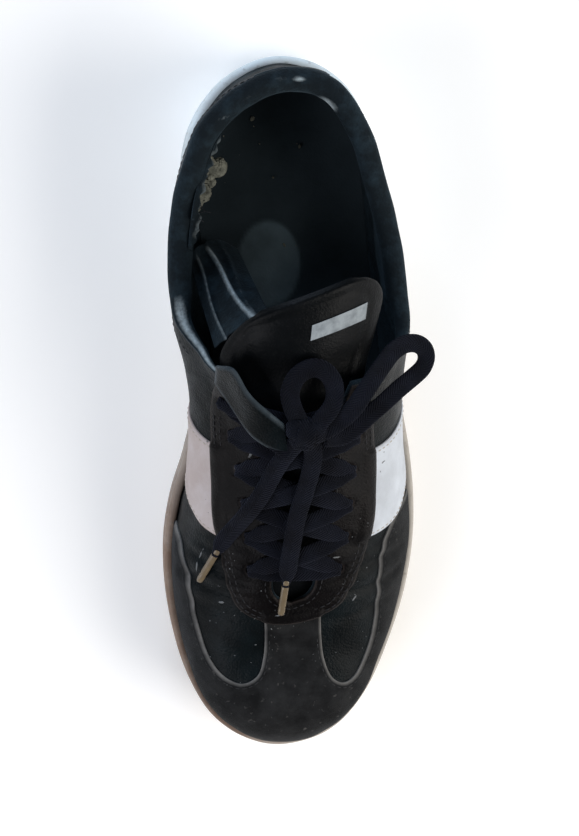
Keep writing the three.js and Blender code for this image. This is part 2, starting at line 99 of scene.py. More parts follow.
floor_mesh = bpy.data.meshes.new("floor")
floor_mesh.from_pydata([(-3, -3, 0), (3, -3, 0), (3, 3, 0), (-3, 3, 0)], [], [(0, 1, 2, 3)])
floor = bpy.data.objects.new("floor", floor_mesh)
bpy.context.scene.collection.objects.link(floor)
floor_paint, _, _ = new_material(
    "matt white paper", Base_Color=colour("#fbfbfa"), Roughness=0.9, Emission_Color=colour("#fffdf8"),
    Emission_Strength=0.14,
)
floor_mesh.materials.append(floor_paint)


def soft_light(name, at, size, power, tint):
    """A square area light that faces the shoe's middle."""
    lamp = bpy.data.lights.new(name, "AREA")
    lamp.size = size
    lamp.energy = power
    lamp.color = colour(tint)[:3]
    placed = bpy.data.objects.new(name, lamp)
    bpy.context.scene.collection.objects.link(placed)
    facing = (Vector((0, 0, 0.05)) - Vector(at)).to_track_quat("-Z", "Y")
    placed.matrix_world = Matrix.Translation(at) @ facing.to_matrix().to_4x4()


soft_light("side light", (1.5, -0.5, 1.1), 1.5, 40, "#fffaf4")
soft_light("far light", (-1.5, -0.9, 1.2), 1.5, 27, "#fbfaff")
soft_light("heel light", (-0.4, 1.6, 0.9), 1.0, 17, "#d6e8ff")
world = bpy.data.worlds.new("studio")
world.use_nodes = True
world.node_tree.nodes["Background"].inputs["Color"].default_value = colour("#f2f5fa")
world.node_tree.nodes["Background"].inputs["Strength"].default_value = 0.16
bpy.context.scene.world = world
bpy.context.scene.view_settings.view_transform = "Standard"

# ---------------------------------------------------------------- cup sole
# A moulded rubber cup, pale grey and sewn to the upper round its rim: a side wall with a rim, and a tread plate.
# The forefoot's inner side has gone brown with dirt and the middle grey; towards the heel the rubber is painted paler
# and bluish for the cool light that falls there.
LENGTH = 296.0
BALL_WIDTH = 109.0
HEEL_Y = LENGTH / 2
RIM_INSET = 1.4
RIM_WALL = 3.2
GAP = 0.35
CUP_DEPTH = 7.5
TOE_SPRING = 10.0
HEEL_BEVEL = 2.5
ARCH_FROM, ARCH_TO, ARCH_RISE = 92.0, 148.0, 2.0
SPINE_START, SPINE_END = 46.0, 250.0
OUTLINE = [
    (0, -0.042), (0.012, -0.176), (0.047, -0.305), (0.105, -0.4), (0.18, -0.43), (0.28, -0.414), (0.39, -0.385),
    (0.49, -0.385), (0.565, -0.428), (0.625, -0.479), (0.69, -0.509), (0.76, -0.508), (0.828, -0.48), (0.889, -0.43),
    (0.942, -0.352), (0.975, -0.256), (0.994, -0.15), (1, -0.055), (0.995, 0.045), (0.981, 0.142), (0.954, 0.235),
    (0.91, 0.323), (0.85, 0.396), (0.782, 0.456), (0.71, 0.491), (0.64, 0.496), (0.565, 0.476), (0.48, 0.434),
    (0.385, 0.394), (0.285, 0.359), (0.185, 0.331), (0.108, 0.296), (0.05, 0.228), (0.013, 0.107),
]
SPINE_X = [(46, -5), (110, -4.5), (150, -3.5), (200, -2), (252, -6)]
RIM_TOP = [(0, 33), (40, 31), (110, 28.5), (170, 26), (215, 25), (260, 28), (296, 34)]


def read(rows, at):
    """A table's value at each position: a cubic through its rows, level beyond the first and the last."""
    x, y = np.array(rows, float).T
    slope = np.zeros_like(y)
    slope[1:-1] = (y[2:] - y[:-2]) / (x[2:] - x[:-2])
    at = np.clip(at, x[0], x[-1])
    i = np.clip(np.searchsorted(x, at, side="right") - 1, 0, len(x) - 2)
    span = x[i + 1] - x[i]
    q = (at - x[i]) / span
    ends = y[i] * (1 + 2 * q) * (1 - q) ** 2 + y[i + 1] * q * q * (3 - 2 * q)
    return ends + span * (slope[i] * q * (1 - q) ** 2 - slope[i + 1] * q * q * (1 - q))


def through(points, steps, closed=False):
    """A smooth line through points: one cubic (Catmull-Rom) for each gap, cut into equal steps."""
    p = np.array(points, float)
    first, last = (p[-1:], p[:2]) if closed else (2 * p[:1] - p[1:2], 2 * p[-1:] - p[-2:-1])
    e = np.vstack([first, p, last])
    a, b, c, d = (e[i : len(e) - 3 + i, None] for i in range(4))
    t = (np.arange(steps) / steps)[None, :, None]
    line = b + 0.5 * t * (c - a + t * (2 * a - 5 * b + 4 * c - d + t * (3 * (b - c) + d - a)))
    line = line.reshape(-1, p.shape[1])
    return line if closed else np.vstack([line, p[-1:]])


def evenly(line, count, closed=False):
    """The line as points at equal distances along it. A closed one doesn't repeat its first point."""
    line = np.vstack([line, line[:1]]) if closed else np.asarray(line, float)
    run = np.concatenate([[0], np.cumsum(np.linalg.norm(np.diff(line, axis=0), axis=1))])
    stops = np.linspace(0, run[-1], count, endpoint=not closed)
    return np.stack([np.interp(stops, run, column) for column in line.T], -1)


def mix(a, b, share):
    """The value a share of the way from a to b in a straight line."""
    return a + (b - a) * share


def bell(*offsets):
    """1 where every offset is nought, and falling off on all sides."""
    return np.exp(-sum(u**2 for u in offsets))


def ramp(x, low, high):
    """0 up to low, 1 from high on, and a smooth S between them."""
    q = np.clip((x - low) / (high - low), 0, 1)
    return q * q * (3 - 2 * q)


drawn = np.array(OUTLINE) @ np.array([[0, -LENGTH], [BALL_WIDTH, 0]]) + (0, HEEL_Y)
OUTLINE_POINTS = 1440
outline = evenly(through(drawn, 48, closed=True), OUTLINE_POINTS, closed=True)
tangent = np.roll(outline, -1, 0) - np.roll(outline, 1, 0)
outward = np.stack([tangent[:, 1], -tangent[:, 0]], -1) / np.linalg.norm(tangent, axis=1)[:, None]
AROUND = np.linalg.norm(np.diff(np.vstack([outline, outline[:1]]), axis=0), axis=1).sum()
footprint_middle = (outline.min(0) + outline.max(0)) / 2


def arcs(count):
    """Distances round the outline at equal steps from the back of the heel."""
    return np.arange(count) * AROUND / count


def to_frame(points):
    """Points of the drawing as points of the frame: metres from the middle of the footprint."""
    return (np.asarray(points, float) - (*footprint_middle, 0)) * 0.001


def edge_line(around, inset):
    """The sole's outline moved inwards, at distances round it from the back of the heel, medial side first."""
    at = [np.interp(around, arcs(OUTLINE_POINTS), v, period=AROUND) for v in (*outline.T, *outward.T)]
    return np.stack([at[0] - at[2] * inset, at[1] - at[3] * inset], -1)


def bottom_height(along):
    """The tread's height: flat under heel and ball, a bevel at the heel, a low arch and the toe's spring."""
    heel = np.clip((12 - along) / 12, 0, 1)
    toe = np.clip((along - 214) / (LENGTH - 214), 0, 1)
    arch = np.clip((along - ARCH_FROM) / (ARCH_TO - ARCH_FROM), 0, 1)
    return HEEL_BEVEL * heel**2 + TOE_SPRING * toe**2 + ARCH_RISE * np.sin(arch * np.pi) ** 2


def grid_faces(rows, columns, round_rows=False, round_columns=False):
    """The quads of a grid of points stored row by row. A round direction joins its last line to its first."""
    r = np.arange(rows if round_rows else rows - 1)[:, None]
    c = np.arange(columns if round_columns else columns - 1)[None, :]
    up, over = (r + 1) % rows, (c + 1) % columns
    corners = [r * columns + c, r * columns + over, up * columns + over, up * columns + c]
    return np.stack([np.broadcast_to(k, (r.size, c.size)) for k in corners], -1).reshape(-1, 4)


def triangles_of(faces):
    """Quads and triangles (whose last two corners are the same) as triangles."""
    halves = np.concatenate([faces[:, :3], faces[:, [0, 2, 3]]])
    return halves[halves[:, 1] != halves[:, 2]]


def piece(name, points, faces, material, sharp=40, flip=None, values=None):
    """A mesh object from points of the drawing and quads, turned to face outwards by the sign of its volume.
    values are named numbers, one for each point, that the material reads."""
    at = to_frame(points.reshape(-1, 3))
    faces = np.asarray(faces).reshape(-1, 4)
    a, b, c = (at[k] for k in triangles_of(faces).T)
    inside_out = np.einsum("ij,ij->i", a, np.cross(b, c)).sum() < 0 if flip is None else flip
    if inside_out:
        faces = faces[:, [3, 2, 1, 0]]
    mesh = bpy.data.meshes.new(name)
    short = faces[:, 0] == faces[:, 1] if inside_out else faces[:, 2] == faces[:, 3]
    plain = faces[~short].tolist()
    cut = (faces[short][:, 1:] if inside_out else faces[short][:, :3]).tolist()
    mesh.from_pydata(at.tolist(), [], plain + cut)
    for key, value in (values or {}).items():
        mesh.attributes.new(key, "FLOAT", "POINT").data.foreach_set("value", np.ravel(value).astype(np.float32))
    mesh.shade_smooth()
    if sharp:
        mesh.set_sharp_from_angle(angle=math.radians(sharp))
    mesh.materials.append(material)
    made = bpy.data.objects.new(name, mesh)
    bpy.context.scene.collection.objects.link(made)
    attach(made, "root")
    return made


# Moulded rubber: matt, pale, with soft grime that gathers in patches and brown dirt along the inner forefoot.
sole_rubber, tree, shader = new_material("moulded rubber", Roughness=0.62, IOR=1.52)
place = add(tree, "TexCoord").outputs["Object"]
where = add(tree, "SeparateXYZ", {"Vector": place}).outputs
PATCH = 1000 / 28  # grime comes in patches of about 28 mm
grime = add(tree, "TexNoise", {"Vector": place, "Scale": PATCH, "Detail": 6.0, "Roughness": 0.65})
speck = add(tree, "TexNoise", {"Vector": place, "Scale": 1000 / 3, "Detail": 3.0})
toward_toe = add(tree, "MapRange", {"Value": where["Y"], "From Min": 0.03, "From Max": -0.06})
inner_side = add(tree, "MapRange", {"Value": where["X"], "From Min": 0.02, "From Max": -0.03, "To Min": 0.15})
brown_place = add(tree, "Math", {0: toward_toe.outputs[0], 1: inner_side.outputs[0]}, operation="MULTIPLY")
brown_amount = add(tree, "Math", {0: brown_place.outputs[0], 1: grime.outputs["Fac"]}, operation="MULTIPLY")
brown_share = add(
    tree, "MapRange", {"Value": brown_amount.outputs[0], "From Min": 0.08, "From Max": 0.5, "To Max": 0.95}
)
# Painted light: the rubber turns paler and bluish towards the heel for the cool light there.
cool_heel_light_share = add(tree, "MapRange", {"Value": where["Y"], "From Min": 0.02, "From Max": 0.12})
rubber_tone = add(
    tree, "Mix", {0: cool_heel_light_share.outputs[0], 6: colour("#aaa59d"), 7: colour("#d2dee3")}, data_type="RGBA"
)
browned = add(
    tree, "Mix", {0: brown_share.outputs[0], 6: rubber_tone.outputs[2], 7: colour("#6f5440")}, data_type="RGBA"
)
grey_share = add(
    tree, "MapRange", {"Value": grime.outputs["Fac"], "From Min": 0.45, "From Max": 0.75, "To Max": 0.55}
)
greyed = add(
    tree, "Mix", {0: grey_share.outputs[0], 6: browned.outputs[2], 7: colour("#77736e")}, data_type="RGBA"
)
speck_share = add(
    tree, "MapRange", {"Value": speck.outputs["Fac"], "From Min": 0.62, "From Max": 0.78, "To Max": 0.5}
)
speckled = add(
    tree, "Mix", {0: speck_share.outputs[0], 6: greyed.outputs[2], 7: colour("#5d564d")}, data_type="RGBA"
)
tree.links.new(speckled.outputs[2], shader.inputs["Base Color"])
scuffs = add(tree, "TexNoise", {"Vector": place, "Scale": 1000 / 1.2, "Detail": 4.0})
bump = add(tree, "Bump", {"Strength": 0.35, "Distance": 0.0004, "Height": scuffs.outputs["Fac"]})
tree.links.new(bump.outputs["Normal"], shader.inputs["Normal"])

# The wall's profile from the tread up and over the rim into the cup, as (inset, share of the height or drop).
WALL_COLUMNS = 640
WALL_UP = [
    (4.6, 0.012), (3.4, 0.0), (2.3, 0.025), (1.5, 0.08), (0.9, 0.16), (0.45, 0.27), (0.1, 0.4), (0.02, 0.5),
    (0.1, 0.6), (0.25, 0.68), (0.42, 0.735), (0.95, 0.755), (1.0, 0.775), (0.5, 0.8), (0.52, 0.87), (0.72, 0.93),
    (1.15, 0.972), (1.75, 0.995), (2.5, 1.0), (3.4, 0.997), (4.1, 0.985),
]
WALL_DOWN = [(4.55, 1.0), (4.62, 4.0), (4.7, 7.2), (16.0, 7.5), (16.0, 10.0), (7.0, 12.0), (6.0, 16.0)]

around = arcs(WALL_COLUMNS)
rings = []
for inset, share in WALL_UP:
    ring = edge_line(around, inset)
    along = HEEL_Y - ring[:, 1]
    rings.append(np.column_stack([ring, mix(bottom_height(along), read(RIM_TOP, along), share)]))
for inset, drop in WALL_DOWN:
    ring = edge_line(around, inset)
    along = HEEL_Y - ring[:, 1]
    floor_z = bottom_height(along) + 1.5
    rings.append(np.column_stack([ring, np.maximum(read(RIM_TOP, along) - drop, floor_z)]))
rings = np.array(rings)
rings[:, :, 2] += 0.12 * np.sin(around / 9.0 + 3 * np.sin(around / 31)) * ramp(rings[:, :, 2], 18, 26)
side_wall = piece(
    "sole_wall", rings, grid_faces(len(rings), WALL_COLUMNS, True, True), sole_rubber, sharp=55
)
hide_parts("cup_sole")


def distance_to(polygon, points):
    """The distance from each point to a closed polygon in the plane, negative inside it."""
    a = np.asarray(polygon, float)
    b = np.roll(a, -1, 0)
    flat = points.reshape(-1, 2)
    best = np.full(len(flat), np.inf)
    inside = np.zeros(len(flat), bool)
    for (ax, ay), (bx, by) in zip(a, b):
        px, py, ex, ey = flat[:, 0] - ax, flat[:, 1] - ay, bx - ax, by - ay
        q = np.clip((px * ex + py * ey) / max(ex * ex + ey * ey, 1e-12), 0, 1)
        best = np.minimum(best, (px - q * ex) ** 2 + (py - q * ey) ** 2)
        crosses = (ay > flat[:, 1]) != (by > flat[:, 1])
        inside ^= crosses & (px < ex * (flat[:, 1] - ay) / (ey if ey else 1e-12))
    return (np.sqrt(best) * np.where(inside, -1, 1)).reshape(points.shape[:-1])


def cut_grid(chart, span_a, span_b, cell, distance):
    """A grid of a chart cut to where distance is negative. Points near the zero line are moved onto it along the
    distance's slope, so the cut is smooth. Gives the kept points' chart places and distances, and their faces."""
    a, b = np.meshgrid(np.arange(*span_a, cell), np.arange(*span_b, cell), indexing="ij")
    step = 0.05 * cell
    here = distance(chart(a, b))
    slope_a = (distance(chart(a + step, b)) - here) / step
    slope_b = (distance(chart(a, b + step)) - here) / step
    steep = slope_a**2 + slope_b**2 + 1e-9
    near = np.abs(here) < 0.58 * cell * np.sqrt(steep)
    a = a - np.where(near, here * slope_a / steep, 0)
    b = b - np.where(near, here * slope_b / steep, 0)
    side = np.where(near, 0, np.sign(here)).astype(int)
    faces = grid_faces(*a.shape)
    signs = side.ravel()[faces]
    outside = (signs > 0).sum(1)
    whole = faces[(outside == 0) & (signs < 0).any(1)]
    cut = (outside == 1) & ((signs < 0).sum(1) >= 1)
    turned = np.argmax(signs[cut], 1)[:, None] + np.array([1, 2, 3, 3])
    corner = np.take_along_axis(faces[cut], turned % 4, 1)
    kept = np.concatenate([whole, corner])
    used, flat = np.unique(kept, return_inverse=True)
    d = np.where(near, 0, here).ravel()[used]
    return a.ravel()[used], b.ravel()[used], d, flat.reshape(-1, 4)


def rim_edges(faces):
    """The edges that only one face has, in that face's direction."""
    sides = np.concatenate([faces[:, [0, 1]], faces[:, [1, 2]], faces[:, [2, 3]], faces[:, [3, 0]]])
    sides = sides[sides[:, 0] != sides[:, 1]]
    key = np.sort(sides, 1)
    _, which, count = np.unique(key, axis=0, return_inverse=True, return_counts=True)
    return sides[count[which.ravel()] == 1]


def slab(top, bottom, faces):
    """Points and faces of a closed sheet: its top, its underside turned round, and a wall round the rim."""
    n = len(top)
    rim = rim_edges(faces)
    wall = np.stack([rim[:, 1], rim[:, 0], rim[:, 0] + n, rim[:, 1] + n], -1)
    under = faces[:, [0, 3, 2, 1]]
    short = faces[:, 2] == faces[:, 3]
    under[short] = faces[short][:, [0, 2, 1, 1]]
    return np.vstack([top, bottom]), np.concatenate([faces, under + n, wall])


# The tread plate closes the cup from below. Zigzag grooves cross it under the forefoot and the heel, and it has worn
# smooth under the ball and at the heel's outer back corner.
GROOVE_PITCH, GROOVE_WIDTH, GROOVE_DEPTH, ZIGZAG, ZIGZAG_PITCH = 7.5, 2.4, 1.6, 3.0, 16.0
TREAD_INSET, EDGE_POINTS = 3.5, 240


def ground(a, b):
    """The tread's lowest face from its plan: across, turned over so that it looks down, and along Y."""
    return np.stack([-a, b, bottom_height(HEEL_Y - b)], -1)


tread_outline = edge_line(arcs(EDGE_POINTS), TREAD_INSET)
a, b, d, faces = cut_grid(ground, (-60, 60), (-152, 152), 1.1, lambda p: distance_to(tread_outline, p[..., :2]))
under = ground(a, b)
along = HEEL_Y - b
zig = np.abs((-a / ZIGZAG_PITCH) % 1 - 0.5) * 4 * ZIGZAG - ZIGZAG
phase = np.abs(((along + zig) / GROOVE_PITCH) % 1 - 0.5) * GROOVE_PITCH
treaded = ramp(along, 148, 152) + (1 - ramp(along, 90, 94))
groove = (1 - ramp(phase, GROOVE_WIDTH / 2 - 0.5, GROOVE_WIDTH / 2 + 0.5)) * treaded * ramp(-d, 1.5, 3.0)
worn = bell((along - 205) / 26, (-a + 4) / 26) + bell((along - 14) / 22, (-a - 22) / 20)
top = under + np.array([0, 0, 1]) * (groove * GROOVE_DEPTH * (1 - 0.7 * np.clip(worn, 0, 1)))[:, None]
points, faces = slab(top, under + (0, 0, 4.0), faces)
tread = piece("sole_tread", points, faces, sole_rubber, sharp=50)
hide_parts("cup_sole")

# ---------------------------------------------------------------- insole
# A loose foam insole under black fabric fills the cup's floor. Its edge turns up against the lining, and the weave is
# worn and paler where the middle of the foot presses.
INSOLE_THICKNESS = 4.5
INSOLE_EDGE = 7.4


def cup_floor(a, b):
    """The cup's floor from its plan: the rim's height at that place less the cup's depth."""
    return np.stack([a, b, read(RIM_TOP, HEEL_Y - b) - CUP_DEPTH], -1)


insole_outline = edge_line(arcs(EDGE_POINTS), INSOLE_EDGE)
a, b, d, faces = cut_grid(
    cup_floor, (-56, 56), (-146, 146), 1.3, lambda p: distance_to(insole_outline, p[..., :2])
)
base = cup_floor(a, b)
along = HEEL_Y - b
turned_up = 4.2 * np.exp(d / 5.0) - 0.8 * bell((along - 45) / 30, (a + 5) / 20)
pressed = ramp(1 - np.hypot((a + 10) / 14, (along - 86) / 19), -0.02, 0.12)
wavy = 0.25 * np.sin(a / 5.3 + 1) * np.sin(along / 8.1) + 0.5 * pressed
top = base + np.stack([0 * a, 0 * a, 1.0 + INSOLE_THICKNESS + turned_up + wavy], -1)
points, faces = slab(top, base + (0, 0, 0.9), faces)

# Woven fabric: no shine, a 1.1 mm weave drawn as coarse as it needs to show, and dust that lightens it where worn.
insole_fabric, tree, shader = new_material(
    "woven insole fabric", Roughness=0.92, Specular_IOR_Level=0.15, Sheen_Weight=0.15, Sheen_Roughness=0.5,
    Sheen_Tint=colour("#7f95a3"),
)
place = add(tree, "TexCoord").outputs["Object"]
weave = add(tree, "TexVoronoi", {"Vector": place, "Scale": 1000 / 1.1}, feature="F1")
blotch = add(tree, "TexNoise", {"Vector": place, "Scale": 1000 / 22, "Detail": 5.0})
worn_here = add(tree, "Attribute", attribute_name="worn")
dust = add(tree, "Math", {0: worn_here.outputs["Fac"], 1: blotch.outputs["Fac"]}, operation="MULTIPLY")
dust_share = add(tree, "MapRange", {"Value": dust.outputs[0], "From Min": 0.02, "From Max": 0.6})
cloth = add(
    tree, "Mix", {0: dust_share.outputs[0], 6: colour("#131b20"), 7: colour("#4a585f")}, data_type="RGBA"
)
tree.links.new(cloth.outputs[2], shader.inputs["Base Color"])
bump = add(tree, "Bump", {"Strength": 0.4, "Distance": 0.0003, "Height": weave.outputs["Distance"]})
tree.links.new(bump.outputs["Normal"], shader.inputs["Normal"])
insole = piece(
    "insole_sheet", points, faces, insole_fabric, sharp=55,
    values={"worn": np.concatenate([0.2 + 0.8 * pressed, 0.2 + 0.8 * pressed])},
)
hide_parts("insole")

# ---------------------------------------------------------------- upper
# The lasted upper: black side leather over the last, pulled down into the cup, open at the collar and the throat.
# It has creased across the vamp where the foot bends and slumped outwards at the collar.
INSTEP_HEIGHT = 92.0
COLLAR_HEIGHT = 87.0
LEATHER = 2.4
COLLAR_PADDING = 6.5
TOP_B = 98.5  # as far up a section as a wall goes, in hundredths
RIDGE = [
    (46, 150), (80, 144), (102, 126), (124, 105), (148, INSTEP_HEIGHT), (175, 82.5), (200, 73), (222, 65), (238, 60),
    (250, 57),
]
SIDE_FULLNESS = [(46, 0.6), (100, 0.62), (130, 0.85), (160, 1), (200, 0.92), (226, 0.78), (250, 0.66)]
TOP_FULLNESS = [(46, 1), (100, 1), (130, 1.05), (160, 1.08), (200, 1), (226, 0.93), (250, 0.86)]
FLARE_MEDIAL = [
    (0, 0), (5, 0.1), (22, 2.8), (40, 6.2), (60, 9.8), (85, 12.8), (105, 11.7), (125, 8.5), (150, 3), (178, 0.5),
    (200, 0),
]
FLARE_LATERAL = [
    (0, 0), (5, 0.1), (25, 0.5), (45, 3), (65, 7), (90, 9.5), (110, 9), (130, 6), (150, 2.5), (178, 0.5), (200, 0),
]
BULGE_MEDIAL = [
    (0, -3.2), (5, -3.1), (16, -2.4), (34, -1.2), (60, 0.5), (90, 2), (120, 5), (148, 7.5), (164, 5), (178, 2),
    (192, 0),
]
BULGE_LATERAL = [(0, -3.2), (5, -3.1), (14, -1.8), (30, 0), (60, 0.5), (120, 1), (148, 1.5), (190, 0)]
FLARE_REACH, BULGE_REACH = 42.0, 52.0
TOP_LINE = [
    (-20, COLLAR_HEIGHT), (4, COLLAR_HEIGHT), (24, COLLAR_HEIGHT - 3), (45, 78), (65, 71.5), (85, 69), (101, 71.5),
    (114, 80), (125, 93), (130, 112),
]
THROAT = [(100, 31), (128, 21), (150, 15.5), (175, 12.5), (200, 10.5), (213, 9)]
THROAT_BEND, THROAT_END = 213.0, 222.0
FEATHER = RIM_INSET + RIM_WALL + GAP


def unit(v):
    """Vectors divided by their own lengths."""
    return v / np.linalg.norm(v, axis=-1, keepdims=True)


def skin(foot, angle):
    """The upper's outer face. A section starts at foot, on the feather line, and ends on the ridge as angle goes from
    0 to a quarter turn: its height grows as the sine and its distance from the spine shrinks as the cosine, each
    raised to a fullness, and the side then leans out and bulges with height."""
    foot_along = HEEL_Y - foot[..., 1]
    spine_along = np.clip(foot_along, SPINE_START, SPINE_END)
    spine = np.stack([read(SPINE_X, spine_along), HEEL_Y - spine_along], -1)
    out = foot - spine
    reach = np.linalg.norm(out, axis=-1)
    out = out / reach[..., None]
    rim = read(RIM_TOP, foot_along)
    rise = (read(RIDGE, spine_along) - rim) * np.sin(angle) ** read(TOP_FULLNESS, spine_along)
    lean = np.sin(np.clip(rise / FLARE_REACH, 0, 1) * np.pi / 2) ** 2
    swell = np.sin(np.clip(rise / BULGE_REACH, 0, 1) * np.pi)
    medial = out[..., 0] < 0
    flare = np.where(medial, read(FLARE_MEDIAL, foot_along), read(FLARE_LATERAL, foot_along))
    bulge = np.where(medial, read(BULGE_MEDIAL, foot_along), read(BULGE_LATERAL, foot_along))
    shift = flare * lean + bulge * swell
    distance = reach * np.cos(angle) ** read(SIDE_FULLNESS, spine_along) + shift
    return np.concatenate([spine + out * distance[..., None], (rim + rise)[..., None]], -1)


def section_angle(share, spine_along):
    """The angle at a share of the way from the ridge down to the feather line, so that equal shares look even."""
    fullness = read(SIDE_FULLNESS, spine_along)
    return (1 - np.clip(share, 0, 1) ** (1 / fullness)) * np.pi / 2


def side_at(a, b):
    """The upper's face round the shoe: a is how far round the feather line from the back of the heel, medial side
    first, and b how far up the section in hundredths. Below nought it goes straight down into the cup."""
    foot = edge_line(a, FEATHER)
    spine_along = np.clip(HEEL_Y - foot[..., 1], SPINE_START, SPINE_END)
    p = skin(foot, section_angle(1 - b / 100, spine_along))
    return p + np.minimum(b, 0)[..., None] * (0, 0, 0.6)


feather = edge_line(arcs(OUTLINE_POINTS), FEATHER)
toe_turn = int(np.argmin(feather[:, 1]))
heel_turn = int(np.argmax(np.roll(feather[:, 1], OUTLINE_POINTS // 2))) - OUTLINE_POINTS // 2
medial_feather = feather[max(heel_turn, 0) : toe_turn][::-1]
lateral_feather = feather[toe_turn : OUTLINE_POINTS + min(heel_turn, 0)]
pole = np.array([read(SPINE_X, SPINE_END), HEEL_Y - SPINE_END])
round_toe = feather[feather[:, 1] < pole[1] + 3] - pole
toe_bearing = np.arctan2(round_toe[:, 0], -round_toe[:, 1])
toe_order = np.argsort(toe_bearing)
toe_bearing, toe_reach = toe_bearing[toe_order], np.linalg.norm(round_toe, axis=1)[toe_order]


def top_at(a, b):
    """The upper's face seen from above and flattened: a across and b along Y, both at the feather line's scale. The
    share of the way from the spine to the feather line gives the section's angle."""
    spine_along = np.clip(HEEL_Y - b, SPINE_START, SPINE_END)
    spine = np.stack([read(SPINE_X, spine_along), HEEL_Y - spine_along], -1)
    off = np.stack([a, b], -1) - spine + (1e-7, 0)
    length = np.linalg.norm(off, axis=-1)
    medial_x = np.interp(b, medial_feather[:, 1], medial_feather[:, 0])
    lateral_x = np.interp(b, lateral_feather[:, 1], lateral_feather[:, 0])
    across = np.where(off[..., 0] < 0, spine[..., 0] - medial_x, lateral_x - spine[..., 0])
    bearing = np.arctan2(off[..., 0], -off[..., 1])
    reach = np.where(HEEL_Y - b > SPINE_END, np.interp(bearing, toe_bearing, toe_reach), across)
    foot = spine + off / length[..., None] * reach[..., None]
    p = skin(foot, section_angle(length / reach, spine_along))
    return p + np.minimum(1 - length / reach, 0)[..., None] * (0, 0, 60)


# Folds worn across the vamp, as (along on the spine, bow towards the toe, depth, width).
FOLDS = [(206, -7, 0.8, 2.4), (213.5, -9, 1.1, 2.6), (222, -8, 0.8, 2.2), (231, -5, 0.45, 2.4), (198, -5, 0.6, 3.0)]
LUMPS = [(11.3, 17.1, 0.6, 0.32), (7.1, 9.7, 2.1, 0.16), (21.0, 29.0, 4.0, 0.5), (4.3, 5.9, 1.2, 0.07)]


def dents(p):
    """How far the worn leather stands off its drawn face: folds across the vamp that fade at the stem, and shallow
    lumps, each the product of two sine waves of a length in millimetres."""
    x, along, z = p[..., 0], HEEL_Y - p[..., 1], p[..., 2]
    off = np.abs(x + 3)
    total = np.zeros_like(x)
    for at, bow, depth, width in FOLDS:
        line = at + bow * (off / 40) ** 2 + 1.2 * np.sin(x / 6 + at)
        total -= depth * bell((along - line) / width) * ramp(off, 8, 20) * (1 - ramp(off, 40, 50))
        total += 0.4 * depth * bell((along - line - 2 * width) / width / 1.6) * ramp(off, 8, 20)
    for wave_x, wave_y, phase, height in LUMPS:
        total += height * np.sin(x / wave_x * 2 + z / wave_y + phase) * np.sin(along / wave_y * 2 + phase * 2)
    return total * ramp(z, 30, 38)


def normal_at(chart, a, b, e=0.3):
    """A chart's outward normals, from its slopes over a short step each way."""
    return unit(np.cross(chart(a + e, b) - chart(a - e, b), chart(a, b + e) - chart(a, b - e)))


def lifted(chart, a, b, lift=0.0):
    """A chart's points with the wear in them and lifted off the face, and the outward normals there."""
    n = normal_at(chart, a, b)
    p = chart(a, b)
    return p + n * (dents(p) + lift)[..., None], n


def throat_half(along):
    """Half the throat's width: the table, then a rounded end."""
    rounded = np.sqrt(np.clip(1 - ((along - THROAT_BEND) / (THROAT_END - THROAT_BEND)) ** 2, 0, 1))
    half = read(THROAT, along) * np.where(along > THROAT_BEND, rounded, 1)
    return np.where(along > THROAT_END, -1, half)


def wall(along, z):
    """The wall's thickness: plain leather, and foam that fades in along the collar."""
    near_top = np.clip(1 - (read(TOP_LINE, along) - z - 4) / 24, 0, 1)
    return LEATHER + COLLAR_PADDING * np.sin(near_top * np.pi / 2) * np.clip((122 - along) / 26, 0, 1)


# Where each column of the wall ends at the collar's roll or the throat's edge, found by halving the range.
SHELL_COLUMNS = 620
columns = arcs(SHELL_COLUMNS)


def past_edge(a, b):
    """True above the top line less the collar's roll, or inside the throat's width from the spine."""
    p = side_at(a, b)
    x, along, z = p[:, 0], HEEL_Y - p[:, 1], p[:, 2]
    roll = np.where(along < 124, wall(along, z) / 2, 0.6)
    over_collar = z > read(TOP_LINE, along) - roll
    in_throat = (np.abs(x - read(SPINE_X, along)) < throat_half(along) + 0.6) & (along > 100)
    return over_collar | in_throat


def halving(past, low, high, rounds):
    """The place between low and high in each column beyond which past is true, found by halving the range."""
    for _ in range(rounds):
        middle = (low + high) / 2
        beyond = past(middle)
        low, high = np.where(beyond, low, middle), np.where(beyond, middle, high)
    return low


full_range = np.zeros(SHELL_COLUMNS), np.full(SHELL_COLUMNS, 100.0)
top_edge = halving(lambda b: past_edge(columns, b), *full_range, 22)


def wall_face(share, lift, below=-12.0):
    """Points of the wall's face from below the rim (share 0) to the top edge (share 1) of each column."""
    b = mix(below, np.minimum(top_edge, TOP_B), share)
    return lifted(side_at, columns, b, lift)


OUTER_ROWS, BACK_ROWS = 56, 14
outer_rows = [wall_face(s, 0.0)[0] for s in np.linspace(0, 1, OUTER_ROWS)]
back_rows = [wall_face(s, -1.3)[0] for s in np.linspace(1, 0, BACK_ROWS)]
shell_points = np.array(outer_rows + back_rows)

# Side leather: near-black, its blue-green cast a painted reflection of cool light, a fine 0.9 mm grain, a faint
# uneven shine where it has been rubbed, and specks of dust all over.
GRAIN = 0.9


